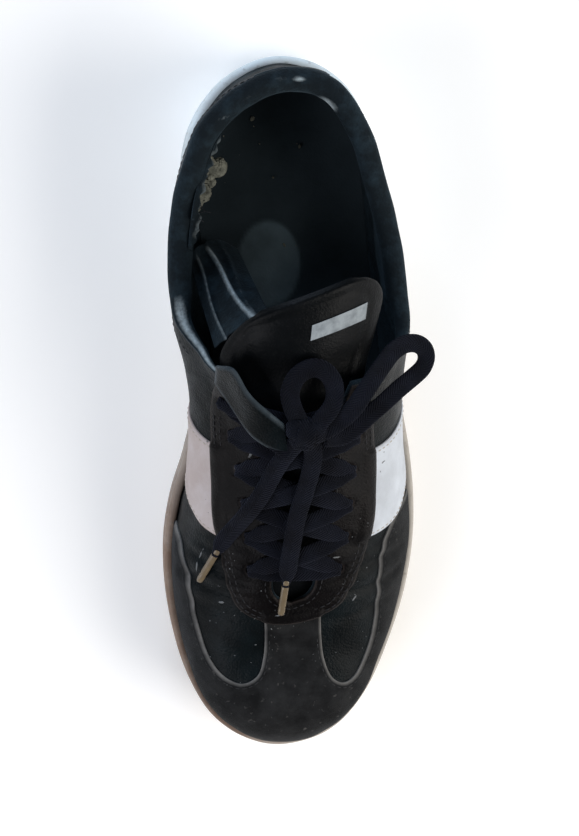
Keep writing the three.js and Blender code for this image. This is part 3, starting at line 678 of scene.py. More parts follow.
def leather(name, dark, rubbed, dust, roughness, grain_depth, dust_amount, coat=0.0):
    """Pigmented leather: broad patches from dark to rubbed, a grain of small cells, fine dust, and a rim that is
    rubbed pale where the piece's own edge value says the cut edge is near. On the collar's front edge and the
    eyestay's flap that pale rim also stands for a painted highlight."""
    made, tree, shader = new_material(
        name, IOR=1.5, Specular_IOR_Level=0.06, Coat_Weight=coat, Coat_Roughness=0.28
    )
    place = add(tree, "TexCoord").outputs["Object"]
    patches = add(tree, "TexNoise", {"Vector": place, "Scale": 1000 / 17, "Detail": 7.0, "Roughness": 0.6})
    grain = add(tree, "TexVoronoi", {"Vector": place, "Scale": 1000 / GRAIN}, feature="F1")
    wrinkle = add(tree, "TexNoise", {"Vector": place, "Scale": 1000 / 6, "Detail": 8.0, "Roughness": 0.7})
    fine = add(tree, "TexNoise", {"Vector": place, "Scale": 1000 / 1.6, "Detail": 6.0, "Roughness": 0.75})
    rub = add(tree, "MapRange", {"Value": patches.outputs["Fac"], "From Min": 0.42, "From Max": 0.72})
    toned = add(tree, "Mix", {0: rub.outputs[0], 6: colour(dark), 7: colour(rubbed)}, data_type="RGBA")
    edge = add(tree, "Attribute", attribute_name="edge")
    near_cut = add(
        tree, "MapRange", {"Value": edge.outputs["Fac"], "From Min": 0.9, "From Max": 0.1, "To Max": 0.75}
    )
    ragged = add(tree, "Math", {0: near_cut.outputs[0], 1: wrinkle.outputs["Fac"]}, operation="MULTIPLY")
    edged = add(tree, "Mix", {0: ragged.outputs[0], 6: toned.outputs[2], 7: colour(dust)}, data_type="RGBA")
    dust_mask = add(
        tree, "MapRange",
        {"Value": fine.outputs["Fac"], "From Min": 0.62, "From Max": 0.8, "To Max": dust_amount},
    )
    dusty = add(tree, "Mix", {0: dust_mask.outputs[0], 6: edged.outputs[2], 7: colour(dust)}, data_type="RGBA")
    tree.links.new(dusty.outputs[2], shader.inputs["Base Color"])
    gloss = add(
        tree, "MapRange",
        {
            "Value": patches.outputs["Fac"], "From Min": 0.3, "From Max": 0.7,
            "To Min": roughness[1], "To Max": roughness[0],
        },
    )
    tree.links.new(gloss.outputs[0], shader.inputs["Roughness"])
    cells = add(
        tree, "Bump",
        {"Strength": grain_depth, "Distance": 0.0003, "Height": grain.outputs["Distance"]}, invert=True,
    )
    creased = add(
        tree, "Bump",
        {"Strength": 0.3, "Distance": 0.0012, "Height": wrinkle.outputs["Fac"], "Normal": cells.outputs["Normal"]},
    )
    tree.links.new(creased.outputs["Normal"], shader.inputs["Normal"])
    return made


# The blue-green tint of the side leather's colours is a painted reflection of cool light.
side_leather = leather("side leather", "#05090b", "#10171a", "#56626a", (0.28, 0.46), 0.5, 0.3)
# At the collar's front the top row is painted pale: partly a rubbed rim, partly a painted highlight along the edge.
from_top = np.concatenate([(1 - np.linspace(0, 1, OUTER_ROWS)) * 45, np.zeros(BACK_ROWS)])
folded_edge_wear_and_highlight = ramp(HEEL_Y - shell_points[0, :, 1], 84, 98) * (1 - ramp(HEEL_Y - shell_points[0, :, 1], 132, 140))
edge_far = mix(9.0, 0.15 + from_top[:, None], folded_edge_wear_and_highlight[None, :])
shell = piece(
    "upper_shell", shell_points, grid_faces(len(shell_points), SHELL_COLUMNS, True, True), side_leather,
    sharp=60, values={"edge": edge_far},
)
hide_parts("upper")

# ---------------------------------------------------------------- collar and lining
# Knitted black lining is sewn to the leather's top edge, rolled over a foam pad and carried down to the insole.
ROLL_ROWS, INNER_ROWS = 14, 44


def across_wall(b, share, up):
    """Points inside the wall: from the outer face a share of its thickness inwards, and up beyond the top edge."""
    p, n = lifted(side_at, columns, b)
    thickness = wall(HEEL_Y - p[:, 1], p[:, 2])
    return p - n * (thickness * share)[:, None] + up


top_b = np.minimum(top_edge, TOP_B)
rim_points, rim_normals = lifted(side_at, columns, top_b)
rim_up = unit(side_at(columns, top_b + 0.3) - side_at(columns, top_b - 0.3))
rim_wall = wall(HEEL_Y - rim_points[:, 1], rim_points[:, 2])
open_top = (top_edge < 99).astype(float)
lining_rows = []
for turn_share in np.linspace(0, np.pi, ROLL_ROWS):
    inwards = rim_wall / 2 * (1 - np.cos(turn_share))
    rise = rim_wall / 2 * np.sin(turn_share) * open_top
    lining_rows.append(rim_points - rim_normals * (inwards + 0.05)[:, None] + rim_up * rise[:, None])
for share in np.linspace(1, 0, INNER_ROWS)[1:]:
    lining_rows.append(across_wall(mix(-6.0, top_b, share), 1.0, 0))
for share in np.linspace(0, 1, 12):
    lining_rows.append(across_wall(mix(-6.0, top_b, share), 0.72, 0))
lining_points = np.array(lining_rows)

lining_knit, tree, shader = new_material(
    "knitted lining", Roughness=0.95, Specular_IOR_Level=0.15, Sheen_Weight=0.2, Sheen_Roughness=0.45,
    Sheen_Tint=colour("#6d8796"),
)
place = add(tree, "TexCoord").outputs["Object"]
knit = add(tree, "TexVoronoi", {"Vector": place, "Scale": 1000 / 1.0}, feature="F1")
pilled = add(tree, "TexNoise", {"Vector": place, "Scale": 1000 / 9, "Detail": 7.0, "Roughness": 0.7})
pill_share = add(
    tree, "MapRange", {"Value": pilled.outputs["Fac"], "From Min": 0.45, "From Max": 0.8, "To Max": 0.8}
)
cloth = add(
    tree, "Mix", {0: pill_share.outputs[0], 6: colour("#0d151a"), 7: colour("#25343d")}, data_type="RGBA"
)
# The worn value lightens the cloth at rubbed and frayed spots, and also as painted highlights on the crest of the
# inner quarter's roll and on the gusset's fold ridges.
worn_here = add(tree, "Attribute", attribute_name="worn")
nibbled = add(tree, "TexNoise", {"Vector": place, "Scale": 1000 / 2.2, "Detail": 5.0, "Roughness": 0.7})
wear_and_highlight_share = add(
    tree, "Math",
    {0: worn_here.outputs["Fac"], 1: nibbled.outputs["Fac"], 2: -0.12}, operation="MULTIPLY_ADD", use_clamp=True,
)
rubbed_and_highlit_cloth = add(
    tree, "Mix", {0: wear_and_highlight_share.outputs[0], 6: cloth.outputs[2], 7: colour("#aebbc0")}, data_type="RGBA"
)
tree.links.new(rubbed_and_highlit_cloth.outputs[2], shader.inputs["Base Color"])
knit_bump = add(tree, "Bump", {"Strength": 0.5, "Distance": 0.0003, "Height": knit.outputs["Distance"]})
pill_bump = add(
    tree, "Bump",
    {"Strength": 0.5, "Distance": 0.001, "Height": pilled.outputs["Fac"], "Normal": knit_bump.outputs["Normal"]},
)
tree.links.new(pill_bump.outputs["Normal"], shader.inputs["Normal"])
# Places where the collar's cloth is rubbed through to its pale ground: (x, along, height, half length, half width,
# turn, strength). All but the last two are on the roll behind the heel.
RUBBED = [
    (-2, 12.5, 86, 2.0, 0.8, 0.1, 1.5), (9, 21.5, 80, 3.4, 1.2, 0.6, 2.4), (-9, 12.5, 84, 4.0, 1.6, 0.0, 0.35),
    (-31, 27, 80, 3.4, 0.7, -0.3, 0.6), (-21, 19, 84, 6.0, 1.5, -0.5, 0.3), (-42, 40, 74, 5.0, 1.0, -1.0, 0.4),
    (25, 34, 78, 6.0, 1.2, 1.0, 0.3),
]


def rubbed_through(p):
    """How strongly each place is rubbed: the sum of flat spots, each falling off from its middle as a bell."""
    total = np.zeros(p.shape[:-1])
    for x, along, z, long, wide, turned, strength in RUBBED:
        dx, dy = p[..., 0] - x, HEEL_Y - p[..., 1] - along
        u, v = dx * np.cos(turned) + dy * np.sin(turned), dy * np.cos(turned) - dx * np.sin(turned)
        total += strength * bell(u / long, v / wide, (p[..., 2] - z) / 9)
    return total


# The inner quarter's top edge, from the collar down to the throat, is pale along the crest of its roll: partly
# rubbed wear, partly a painted highlight on the crest.
rim_along = HEEL_Y - rim_points[:, 1]
crest = bell((np.arange(len(lining_rows)) - 5.5) / 2.4)
rubbed_and_highlit_rim = ramp(rim_along, 92, 104) * (1 - ramp(rim_along, 124, 129)) * (rim_points[:, 0] < -10)
rolled_edge_wear_and_highlight = crest[:, None] * rubbed_and_highlit_rim[None, :] * 1.5

lining = piece(
    "collar_lining", lining_points, grid_faces(len(lining_points), SHELL_COLUMNS, True, True), lining_knit,
    sharp=0, values={"worn": rubbed_through(lining_points) + rolled_edge_wear_and_highlight},
)
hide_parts("upper")

# ---------------------------------------------------------------- overlays
# Cut pieces sewn on over the side leather: a suede toe piece with a stem and two wings, a pale panel on each side, a
# heel counter with a tab, and the eyestay with six punched holes a side, which goes on last.
OVERLAY, PANEL_THICKNESS, EYESTAY_THICKNESS = 1.2, 1.0, 1.3
HEEL_SPINE_X = -4.5


def plan(p):
    """A point's place seen from above, as (x, along)."""
    return np.stack([p[..., 0], HEEL_Y - p[..., 1]], -1)


def side_view(p):
    """A point's place seen from the side, as (along, height)."""
    return np.stack([HEEL_Y - p[..., 1], p[..., 2]], -1)


def panel(name, chart, span_a, span_b, cell, distance, material, thick=OVERLAY, over=()):
    """A closed sheet laid on the face and cut to where distance is negative. Its cut edge rounds off over about a
    millimetre, and it rises by a thickness over each (distance, thickness) piece that it covers."""
    a, b, d, faces = cut_grid(chart, span_a, span_b, cell, distance)
    drawn_at = chart(a, b)
    base = sum((t * ramp(-covered(drawn_at), -2.0, 1.0) for covered, t in over), np.zeros(len(a)))
    rounded = 0.45 + 0.55 * np.sqrt(np.clip(-d / 1.3, 0, 1))
    top, _ = lifted(chart, a, b, base + thick * rounded)
    bottom, _ = lifted(chart, a, b, -0.5)
    points, faces = slab(top, bottom, faces)
    return piece(name, points, faces, material, sharp=48, values={"edge": np.concatenate([-d, -d])})


def smooth_outline(*runs):
    """A closed outline of smooth runs joined at corners."""
    return np.vstack([through(run, 8) if len(run) > 2 else np.array(run, float) for run in runs])


# The window in front of which the toe piece lies: its two lobes are the insets beside the stem.
INNER_LOBE = [
    (-64, 184), (-53, 190), (-48.5, 199), (-45, 213), (-42.5, 230), (-38.5, 245), (-32, 255.5), (-24, 259.5),
    (-17, 256), (-14.5, 248), (-14, 238), (-14.5, 226),
]
OUTER_LOBE = [
    (9, 226), (9.5, 238), (11, 249), (14.5, 257.5), (20, 260.5), (26, 256), (31, 244), (33, 228), (33.5, 208),
    (37, 194), (45, 184), (64, 178),
]
TOE_WINDOW = smooth_outline(INNER_LOBE, OUTER_LOBE, [(64, 120), (-64, 120)])


def off_toe_piece(p):
    """The distance to the toe piece seen from above: it is all that lies outside its window."""
    return -distance_to(TOE_WINDOW, plan(p))


# Suede: a short dense nap, charcoal, with no shine but a pale sheen at a low angle, and trodden-in dust.
suede, tree, shader = new_material(
    "split suede", Roughness=0.96, Specular_IOR_Level=0.1, Sheen_Weight=0.2, Sheen_Roughness=0.4,
    Sheen_Tint=colour("#8d8f92"),
)
place = add(tree, "TexCoord").outputs["Object"]
nap = add(tree, "TexNoise", {"Vector": place, "Scale": 1000 / 0.8, "Detail": 5.0, "Roughness": 0.8})
brushed = add(tree, "TexNoise", {"Vector": place, "Scale": 1000 / 12, "Detail": 6.0, "Roughness": 0.65})
spots = add(tree, "TexNoise", {"Vector": place, "Scale": 1000 / 2.2, "Detail": 3.0})
tone = add(tree, "MapRange", {"Value": brushed.outputs["Fac"], "From Min": 0.35, "From Max": 0.7})
napped = add(tree, "Mix", {0: tone.outputs[0], 6: colour("#0f1011"), 7: colour("#262728")}, data_type="RGBA")
spot_share = add(
    tree, "MapRange", {"Value": spots.outputs["Fac"], "From Min": 0.66, "From Max": 0.8, "To Max": 0.6}
)
dusted = add(
    tree, "Mix", {0: spot_share.outputs[0], 6: napped.outputs[2], 7: colour("#5d5c5a")}, data_type="RGBA"
)
edge = add(tree, "Attribute", attribute_name="edge")
near_cut = add(
    tree, "MapRange", {"Value": edge.outputs["Fac"], "From Min": 1.3, "From Max": 0.1, "To Max": 0.9}
)
rubbed = add(tree, "Math", {0: near_cut.outputs[0], 1: brushed.outputs["Fac"]}, operation="MULTIPLY")
edged = add(tree, "Mix", {0: rubbed.outputs[0], 6: dusted.outputs[2], 7: colour("#8b8a88")}, data_type="RGBA")
tree.links.new(edged.outputs[2], shader.inputs["Base Color"])
nap_bump = add(tree, "Bump", {"Strength": 0.6, "Distance": 0.0004, "Height": nap.outputs["Fac"]})
tree.links.new(nap_bump.outputs["Normal"], shader.inputs["Normal"])
panel(
    "toe_overlay", top_at, (-56, 56), (-148, -28), 0.9,
    lambda p: np.maximum(off_toe_piece(p), read(RIM_TOP, HEEL_Y - p[..., 1]) - 4 - p[..., 2]), suede,
)

# The eyestay's outer edge, drawn first because the side panels end under it.
EYESTAY_EDGE = [
    (-26, 118), (-33, 126), (-35.5, 138), (-35.5, 155), (-35, 171), (-34, 186), (-32, 201), (-29.5, 215), (-25, 224),
    (-18, 229), (-10, 231), (-1, 230.6), (9, 228.5), (16.5, 224), (21.5, 216), (27, 201), (29, 186), (29.5, 169),
    (28.5, 154), (26.5, 140), (23.5, 127), (18, 117),
]
EYESTAY = smooth_outline(EYESTAY_EDGE)

# The pale side panels, one a side: smooth coated leather, greyish pink inside; the outer copy is painted paler and
# cooler for the cool light on that side.
PANEL_BACK = [(120, 16), (131, 33), (141, 47), (150, 60), (156, 73), (159, 92)]
PANEL_FRONT = [(197, 84), (196, 70), (191, 57), (183, 46), (173, 34), (160, 16)]
SIDE_PANEL = smooth_outline(PANEL_BACK, PANEL_FRONT)


def off_side_panel(p):
    """The distance to a side panel in side view, or to where it ends under the eyestay if that is more."""
    under_stay = -4.5 - distance_to(EYESTAY, plan(p))
    return np.maximum(distance_to(SIDE_PANEL, side_view(p)), under_stay)


RING_POINTS = 720
half_ring = edge_line(arcs(RING_POINTS), FEATHER)
toe_at = int(np.argmin(half_ring[:, 1]))


def arc_of(along, medial):
    """How far round the feather line a place along the shoe is, on one side."""
    part = np.arange(2, toe_at) if medial else np.arange(RING_POINTS - 2, toe_at, -1)
    return np.interp(along, HEEL_Y - half_ring[part, 1], part * AROUND / RING_POINTS)


# The cool copy is painted paler and bluer for the light on the outer side.
warm_leather = leather("coated pale leather, warm", "#ada29f", "#bdb7b8", "#766a63", (0.4, 0.62), 0.25, 0.5)
cool_lit_pale_leather = leather("coated pale leather, cool", "#b4bac2", "#c6cdd6", "#7b7a7c", (0.4, 0.62), 0.25, 0.4)
for name, medial, pale_leather in (
    ("side_panel_inner", True, warm_leather), ("side_panel_outer", False, cool_lit_pale_leather),
):
    ends = sorted((float(arc_of(110, medial)), float(arc_of(204, medial))))
    panel(
        name, side_at, ends, (-8, 92), 0.9, off_side_panel, pale_leather, thick=PANEL_THICKNESS
    )

# The heel counter wraps the back of the heel, under a tab that comes down from the collar.
HEEL_COUNTER = smooth_outline(
    [(-30, 8), (84, 8)], [(84, 8), (79, 34), (68, 50), (52, 60), (34, 65), (12, 68), (-30, 69)],
)


def off_counter(p):
    """The distance to the heel counter in side view."""
    return distance_to(HEEL_COUNTER, side_view(p))


def off_heel_tab(p):
    """The most of the distances to the tab's two leaning sides, its foot, its head and the shoe's back."""
    half = 9.5 + 0.16 * (p[..., 2] - 50)
    sides = np.abs(p[..., 0] - HEEL_SPINE_X) - half
    return np.maximum(np.maximum(sides, 48 - p[..., 2]), np.maximum(p[..., 2] - 80, HEEL_Y - 30 - p[..., 1]))


# The polished leather's teal tint is a painted sheen of the cool light from the heel side.
counter_leather = leather("polished leather", "#080e11", "#18262c", "#5f6d75", (0.4, 0.58), 0.35, 0.3)
panel(
    "heel_counter", side_at, (-110, 110), (-8, 20), 0.6, off_counter, counter_leather
)
panel(
    "heel_tab", side_at, (-24, 24), (3, 22), 0.4, off_heel_tab, counter_leather, thick=1.1,
    over=[(off_counter, OVERLAY)],
)

# The eyestay: a long U beside the throat, closed in front of it.
EYELET_RADIUS, EYELET_FROM, EYELET_PITCH, EYELET_ROWS, EYELET_EDGE = 2.4, 135.0, 14.4, 6, 8.0
stops = np.linspace(100, THROAT_END, 60)
THROAT_OUTLINE = np.vstack([
    np.column_stack([read(SPINE_X, stops) - throat_half(stops), stops]),
    np.column_stack([read(SPINE_X, stops) + throat_half(stops), stops])[::-1],
])


def locate(chart, wanted, view, start, rounds=16):
    """The chart places whose points look to be at wanted in a view, found by Newton's steps from start."""
    a, b = start
    e = 0.2
    for _ in range(rounds):
        missed = wanted - view(chart(a, b))
        ja = (view(chart(a + e, b)) - view(chart(a - e, b))) / (2 * e)
        jb = (view(chart(a, b + e)) - view(chart(a, b - e))) / (2 * e)
        det = ja[..., 0] * jb[..., 1] - ja[..., 1] * jb[..., 0]
        det = np.where(np.abs(det) < 1e-3, 1e-3, det)
        step_a = (missed[..., 0] * jb[..., 1] - missed[..., 1] * jb[..., 0]) / det
        step_b = (ja[..., 0] * missed[..., 1] - ja[..., 1] * missed[..., 0]) / det
        a, b = a + np.clip(step_a, -4, 4), b + np.clip(step_b, -4, 4)
    return a, b


def on_top(x, along, lift=0.0):
    """Points on the upper's face at places seen from above, with the normals there."""
    wanted = np.stack(np.broadcast_arrays(np.asarray(x, float), np.asarray(along, float)), -1)
    start = (wanted[..., 0] * 0.8, HEEL_Y - wanted[..., 1])
    return lifted(top_at, *locate(top_at, wanted, plan, start), lift)


eyelet_rows = EYELET_FROM + EYELET_PITCH * np.arange(EYELET_ROWS)
eyelet_plan = np.array([
    [(read(SPINE_X, at) + side * (read(THROAT, at) + EYELET_EDGE), at) for at in eyelet_rows] for side in (-1, 1)
])
eyelet_points, eyelet_normals = on_top(eyelet_plan[..., 0], eyelet_plan[..., 1])


def off_eyestay(p):
    """The distance to the eyestay: inside its edge, outside the throat and the holes, and below the collar."""
    body = np.maximum(distance_to(EYESTAY, plan(p)), -distance_to(THROAT_OUTLINE, plan(p)))
    gap = np.linalg.norm(p[..., None, :] - eyelet_points.reshape(-1, 3), axis=-1).min(-1)
    along = HEEL_Y - p[..., 1]
    below_collar = p[..., 2] - read(TOP_LINE, along) + 2.2
    return np.maximum(np.maximum(body, EYELET_RADIUS - gap), np.where(along < 130, below_collar, -9))


stay_leather = leather("eyestay leather", "#070607", "#110e0e", "#453f3d", (0.28, 0.46), 0.4, 0.25)
panel(
    "eyestay", top_at, (-46, 42), (HEEL_Y - 236, HEEL_Y - 112), 0.8, off_eyestay, stay_leather,
    thick=EYESTAY_THICKNESS, over=[(off_toe_piece, OVERLAY), (off_side_panel, PANEL_THICKNESS)],
)

# The top of the inner eyestay has stretched and been pulled across the tongue by the lace: a soft flap, its rim
# pale partly from rubbing and partly as a painted highlight, that climbs over the upper crossings and ends in a
# rounded tip beside the knot.
CORNER_FLAP = smooth_outline(
    [(-34, 119), (-27.5, 118.5), (-21, 126), (-13.5, 134.5), (-7, 142), (-3.6, 147), (-4, 150.5), (-8, 151.5),
     (-14, 148.5), (-21, 142), (-28, 134.5), (-34, 127)],
)
FLAP_THICKNESS, FLAP_CLIMB = 0.9, 4.4
a, b, d, faces = cut_grid(
    top_at, (-46, 4), (HEEL_Y - 156, HEEL_Y - 112), 0.6, lambda p: distance_to(CORNER_FLAP, plan(p))
)
climb = 1.25 + FLAP_CLIMB * ramp(top_at(a, b)[:, 0], -30, -17) + 0.5 * np.sin(a / 4.1) * np.sin(b / 5.3)
rounded = 0.3 + 0.7 * np.sqrt(np.clip(-d / 1.2, 0, 1))
top, _ = lifted(top_at, a, b, climb + FLAP_THICKNESS * rounded)
bottom, _ = lifted(top_at, a, b, climb - 0.5)
points, faces = slab(top, bottom, faces)
piece(
    "eyestay_corner_flap", points, faces, side_leather, sharp=60,
    # The widened pale rim is partly rubbed wear and partly a painted highlight on the edge.
    values={"edge": np.concatenate([-d, -d]) * 0.6},
)

# ---------------------------------------------------------------- seams
# Lockstitched polyester thread: rows beside the toe piece, the side panels and the heel counter, two round the
# eyestay, one along the throat, one under the collar, and a coarser pale row in the channel of the cup sole's wall.
# Each stitch is a short bent capsule whose ends dip into the leather. The heel tab and the flap have no row.
STITCH_PITCH, STITCH_RADIUS, STITCH_SIDES = 2.9, 0.26, 6
SOLE_STITCH_PITCH, SOLE_STITCH_RADIUS = 5.0, 0.42
dark_rows, pale_rows, sole_rows = [], [], []


def row_of(points, normals, pitch, kept=None):
    """Stitch middles at equal steps along a line of points, with the line's direction and the surface's normal."""
    run = np.concatenate([[0], np.cumsum(np.linalg.norm(np.diff(points, axis=0), axis=1))])
    stops = np.arange(pitch / 2, run[-1], pitch)
    middle = np.stack([np.interp(stops, run, c) for c in points.T], -1)
    after = np.stack([np.interp(stops + 0.5, run, c) for c in points.T], -1)
    before = np.stack([np.interp(stops - 0.5, run, c) for c in points.T], -1)
    normal = unit(np.stack([np.interp(stops, run, c) for c in normals.T], -1))
    chosen = np.ones(len(stops), bool) if kept is None else kept(middle)
    return middle[chosen], unit(after - before)[chosen], normal[chosen]


def beside(line, gap):
    """A flat line moved to its left by gap."""
    t = unit(np.gradient(line, axis=0))
    return line + np.stack([-t[:, 1], t[:, 0]], -1) * gap


def sew_top(line, lift, kept=None):
    """A row on the top of the upper, along a line of (x, along)."""
    p, n = on_top(line[:, 0], line[:, 1], lift)
    dark_rows.append(row_of(p, n, STITCH_PITCH, kept))


def sew_side(line, medial, lift, kept=None):
    """A row on one side of the upper, along a line of (along, height), as far as the line lies on the face."""
    line = evenly(line, 90)
    a, b = locate(side_at, line, side_view, (arc_of(line[:, 0], medial), np.clip((line[:, 1] - 28) * 1.1, -4, 80)))
    b = np.clip(b, -8, 96)
    found = np.linalg.norm(side_view(side_at(a, b)) - line, axis=-1) < 0.5
    p, n = lifted(side_at, a[found], b[found], lift)
    pale_rows.append(row_of(p, n, STITCH_PITCH, kept))


def sew_level(around, distance, level, lift, kept=None):
    """A row round the heel where distance, which grows upwards, has a level: found by halving the height's range."""
    full_range = np.full(len(around), -5.0), np.full(len(around), 96.0)
    b = halving(lambda b: distance(side_at(around, b)) > level, *full_range, 20)
    p, n = lifted(side_at, around, b, lift)
    dark_rows.append(row_of(p, n, STITCH_PITCH, kept))


def in_cup(p):
    """True where a point stands clear above the rim of the cup."""
    return p[:, 2] > read(RIM_TOP, HEEL_Y - p[:, 1]) + 0.6


def beyond_stay(p):
    """True clear of the cup's rim and outside the eyestay."""
    return in_cup(p) & (distance_to(EYESTAY, plan(p)) > 0.5)


for lobe in (INNER_LOBE, OUTER_LOBE):
    sew_top(beside(through(lobe, 12)[12:-12], 1.9), OVERLAY - 0.1, beyond_stay)
for gap in (-1.9, -4.1):
    sew_top(beside(through(EYESTAY_EDGE, 10)[22:-22], gap), 1.35)
throat_row = THROAT_OUTLINE[THROAT_OUTLINE[:, 1] > 129]
sew_top(beside(evenly(throat_row, 160), 2.3), EYESTAY_THICKNESS)
for medial in (True, False):
    sew_side(beside(through(PANEL_BACK, 10)[6:], -1.8), medial, 0.95, beyond_stay)
    sew_side(beside(through(PANEL_FRONT, 10)[:-6], -1.8), medial, 0.95, beyond_stay)
counter_arc = np.linspace(-88, 88, 220)
sew_level(counter_arc, off_counter, -1.9, 1.1, in_cup)
COLLAR_FRONT = 118
outer_arc, inner_arc = float(AROUND - arc_of(COLLAR_FRONT, False)), float(arc_of(COLLAR_FRONT, True))
collar_arc = np.concatenate([np.linspace(-outer_arc, 0, 120), np.linspace(1, inner_arc, 120)])


def under_collar(p):
    """How far a point is above a line that runs 11 mm below the collar's top line."""
    return p[..., 2] - read(TOP_LINE, HEEL_Y - p[..., 1]) + 11


sew_level(
    collar_arc, under_collar, 0.0, -0.03, lambda p: (np.abs(p[:, 0] - HEEL_SPINE_X) > 12) | (p[:, 1] < HEEL_Y - 40)
)

wall_arc = arcs(900)
channel = edge_line(wall_arc, 0.82)
channel_along = HEEL_Y - channel[:, 1]
channel_line = np.column_stack([channel, mix(bottom_height(channel_along), read(RIM_TOP, channel_along), 0.765)])
straight_out = np.column_stack([edge_line(wall_arc, -1) - edge_line(wall_arc, 0), 0 * wall_arc])
sole_rows.append(row_of(channel_line, straight_out, SOLE_STITCH_PITCH))


def tube_faces(rows, sides):
    """The quads of a tube of rings, closed at each end by a fan round one of the two points that follow the rings."""
    k = np.arange(sides)
    after, last, tip = (k + 1) % sides, (rows - 1) * sides, np.full(sides, rows * sides)
    first_fan = np.stack([after, k, tip, tip], -1)
    last_fan = np.stack([last + k, last + after, tip + 1, tip + 1], -1)
    return np.concatenate([grid_faces(rows, sides, round_columns=True), first_fan, last_fan])


def copied(faces, count, points):
    """One body's faces for count bodies of so many points each, stored one after the other."""
    return (faces[None] + (np.arange(count) * points)[:, None, None]).reshape(-1, 4)


def stitches(name, rows, pitch, radius, material):
    """All stitches of one thread as one mesh: six-sided capsules, bent down at both ends by the square of the share
    from their middle."""
    middle, heading, normal = (np.concatenate([r[i] for r in rows]) for i in range(3))
    sideways = np.cross(normal, heading)
    share = np.array([-1, -0.72, 0, 0.72, 1])
    thick = np.array([0.5, 0.95, 1, 0.95, 0.5]) * radius
    angle = np.arange(STITCH_SIDES) * 2 * np.pi / STITCH_SIDES
    runs = share * pitch * 0.36
    dip = radius * (0.15 - 0.9 * share**2)
    rings = (
        middle[:, None, None]
        + heading[:, None, None] * runs[None, :, None, None]
        + sideways[:, None, None] * (thick[:, None] * np.cos(angle))[None, :, :, None]
        + normal[:, None, None] * (thick[:, None] * np.sin(angle) + dip[:, None])[None, :, :, None]
    )
    tips = np.stack([rings[:, 0].mean(1) - heading * 0.1, rings[:, -1].mean(1) + heading * 0.1], 1)
    points = np.concatenate([rings.reshape(len(middle), -1, 3), tips], 1)
    faces = copied(tube_faces(len(share), STITCH_SIDES), len(middle), points.shape[1])
    return piece(name, points.reshape(-1, 3), faces, material, sharp=0)


black_thread, _, _ = new_material(
    "black polyester thread", Base_Color=colour("#1c1d20"), Roughness=0.7, Specular_IOR_Level=0.3
)
pale_thread, _, _ = new_material(
    "pale sole thread", Base_Color=colour("#a49c90"), Roughness=0.75, Specular_IOR_Level=0.3
)

# ---------------------------------------------------------------- tongue
# A padded leather tongue, sewn in at the front of the throat. Its free end stands up skewed, with a rolled edge, and
# carries a small blank woven label.
TONGUE_THICKNESS = 5.0
TONGUE_DEPTH = LEATHER + 1.4
TONGUE_FREE = [(92, 108), (100, 105.5), (112, 101), (128, 95.5)]
TONGUE_HALF = [
    (92, 17), (94.5, 23), (99, 28.5), (106, 31.5), (117, 29.5), (128, 26.8), (140, 26.8), (160, 26), (200, 21),
    (236, 15),
]
TONGUE_SKEW = [(92, 0.36), (110, 0.33), (135, 0.1), (150, 0)]
TONGUE_SHIFT = [(92, 4), (115, 2.5), (150, 0)]
HEM = 6.0
TONGUE_TIP, TONGUE_FROM, TONGUE_TO = 91.5, 92, 236


def under_throat(along, across):
    """The height of the tongue's middle layer below the throat."""
    p, n = on_top(read(SPINE_X, along) + across, along)
    return p[..., 2] - TONGUE_DEPTH / np.maximum(n[..., 2], 0.45)


def tongue_face(along, across, side):
    """Points of the tongue's upper face (side 1) or underside (-1), across from its own middle line. Its thickness
    fades to nothing at its edges as a root of one minus a power, and a shallow channel runs inside its rolled hem."""
    half = read(TONGUE_HALF, along)
    share = np.clip(across / half, -1, 1)
    crown = read(TONGUE_FREE, along) - 14 * (across / 32) ** 2
    tucked = under_throat(np.maximum(along, 140), across) + np.maximum(140 - along, 0) * 0.42
    middle = mix(crown, tucked, np.clip((along - 120) / 20, 0, 1) ** 2)
    thickness = TONGUE_THICKNESS * mix(1, 0.6, np.clip((along - 190) / 46, 0, 1))
    edge = np.sqrt(np.clip(1 - share**6, 0, 1)) * np.sqrt(np.clip(1 - np.clip((94.6 - along) / 2.6, 0, 1) ** 2, 0, 1))
    from_edge = np.minimum((1 - np.abs(share)) * half, along - TONGUE_TIP)
    channel = 0.7 * bell((from_edge - HEM) / 0.9) - 0.5 * ramp(from_edge, HEM, HEM + 9)
    creased = 0.35 * np.sin(along / 4.6 + across / 19) * ramp(along, 108, 118) + 0.2 * np.sin(across / 5 + along / 9)
    z = middle - thickness / 2 + side * thickness * edge / 2 + (side > 0) * (creased - channel) * edge
    y = HEEL_Y - along + read(TONGUE_SKEW, along) * half * share
    return np.stack([read(SPINE_X, along) + across + read(TONGUE_SHIFT, along), y, z], -1)


STATIONS, TONGUE_COLUMNS = 120, 48
station = np.linspace(TONGUE_FROM, TONGUE_TO, STATIONS)[:, None]
sweep = np.cos(np.linspace(0, np.pi, TONGUE_COLUMNS))[None, :]
faces_of_tongue = [
    tongue_face(*np.broadcast_arrays(station, read(TONGUE_HALF, station) * sweep * side), side) for side in (1, -1)
]
tongue_points = np.concatenate(faces_of_tongue, axis=1)
tongue_quads = grid_faces(STATIONS, 2 * TONGUE_COLUMNS, round_columns=True)
end = np.arange(TONGUE_COLUMNS - 1)
caps = []
for row in (0, (STATIONS - 1) * 2 * TONGUE_COLUMNS):
    opposite = row + 2 * TONGUE_COLUMNS - 1 - end
    cap = np.stack([row + end, row + end + 1, opposite - 1, opposite], -1)
    caps.append(cap[:, ::-1] if row == 0 else cap)
tongue_leather = leather("soft tongue leather", "#06080a", "#111315", "#42474a", (0.26, 0.42), 0.28, 0.15)
tongue = piece(
    "tongue_padded", tongue_points, np.concatenate([tongue_quads, *caps]), tongue_leather, sharp=70,
    values={"edge": np.full(tongue_points.shape[:2], 9.0)},
)
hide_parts("tongue")

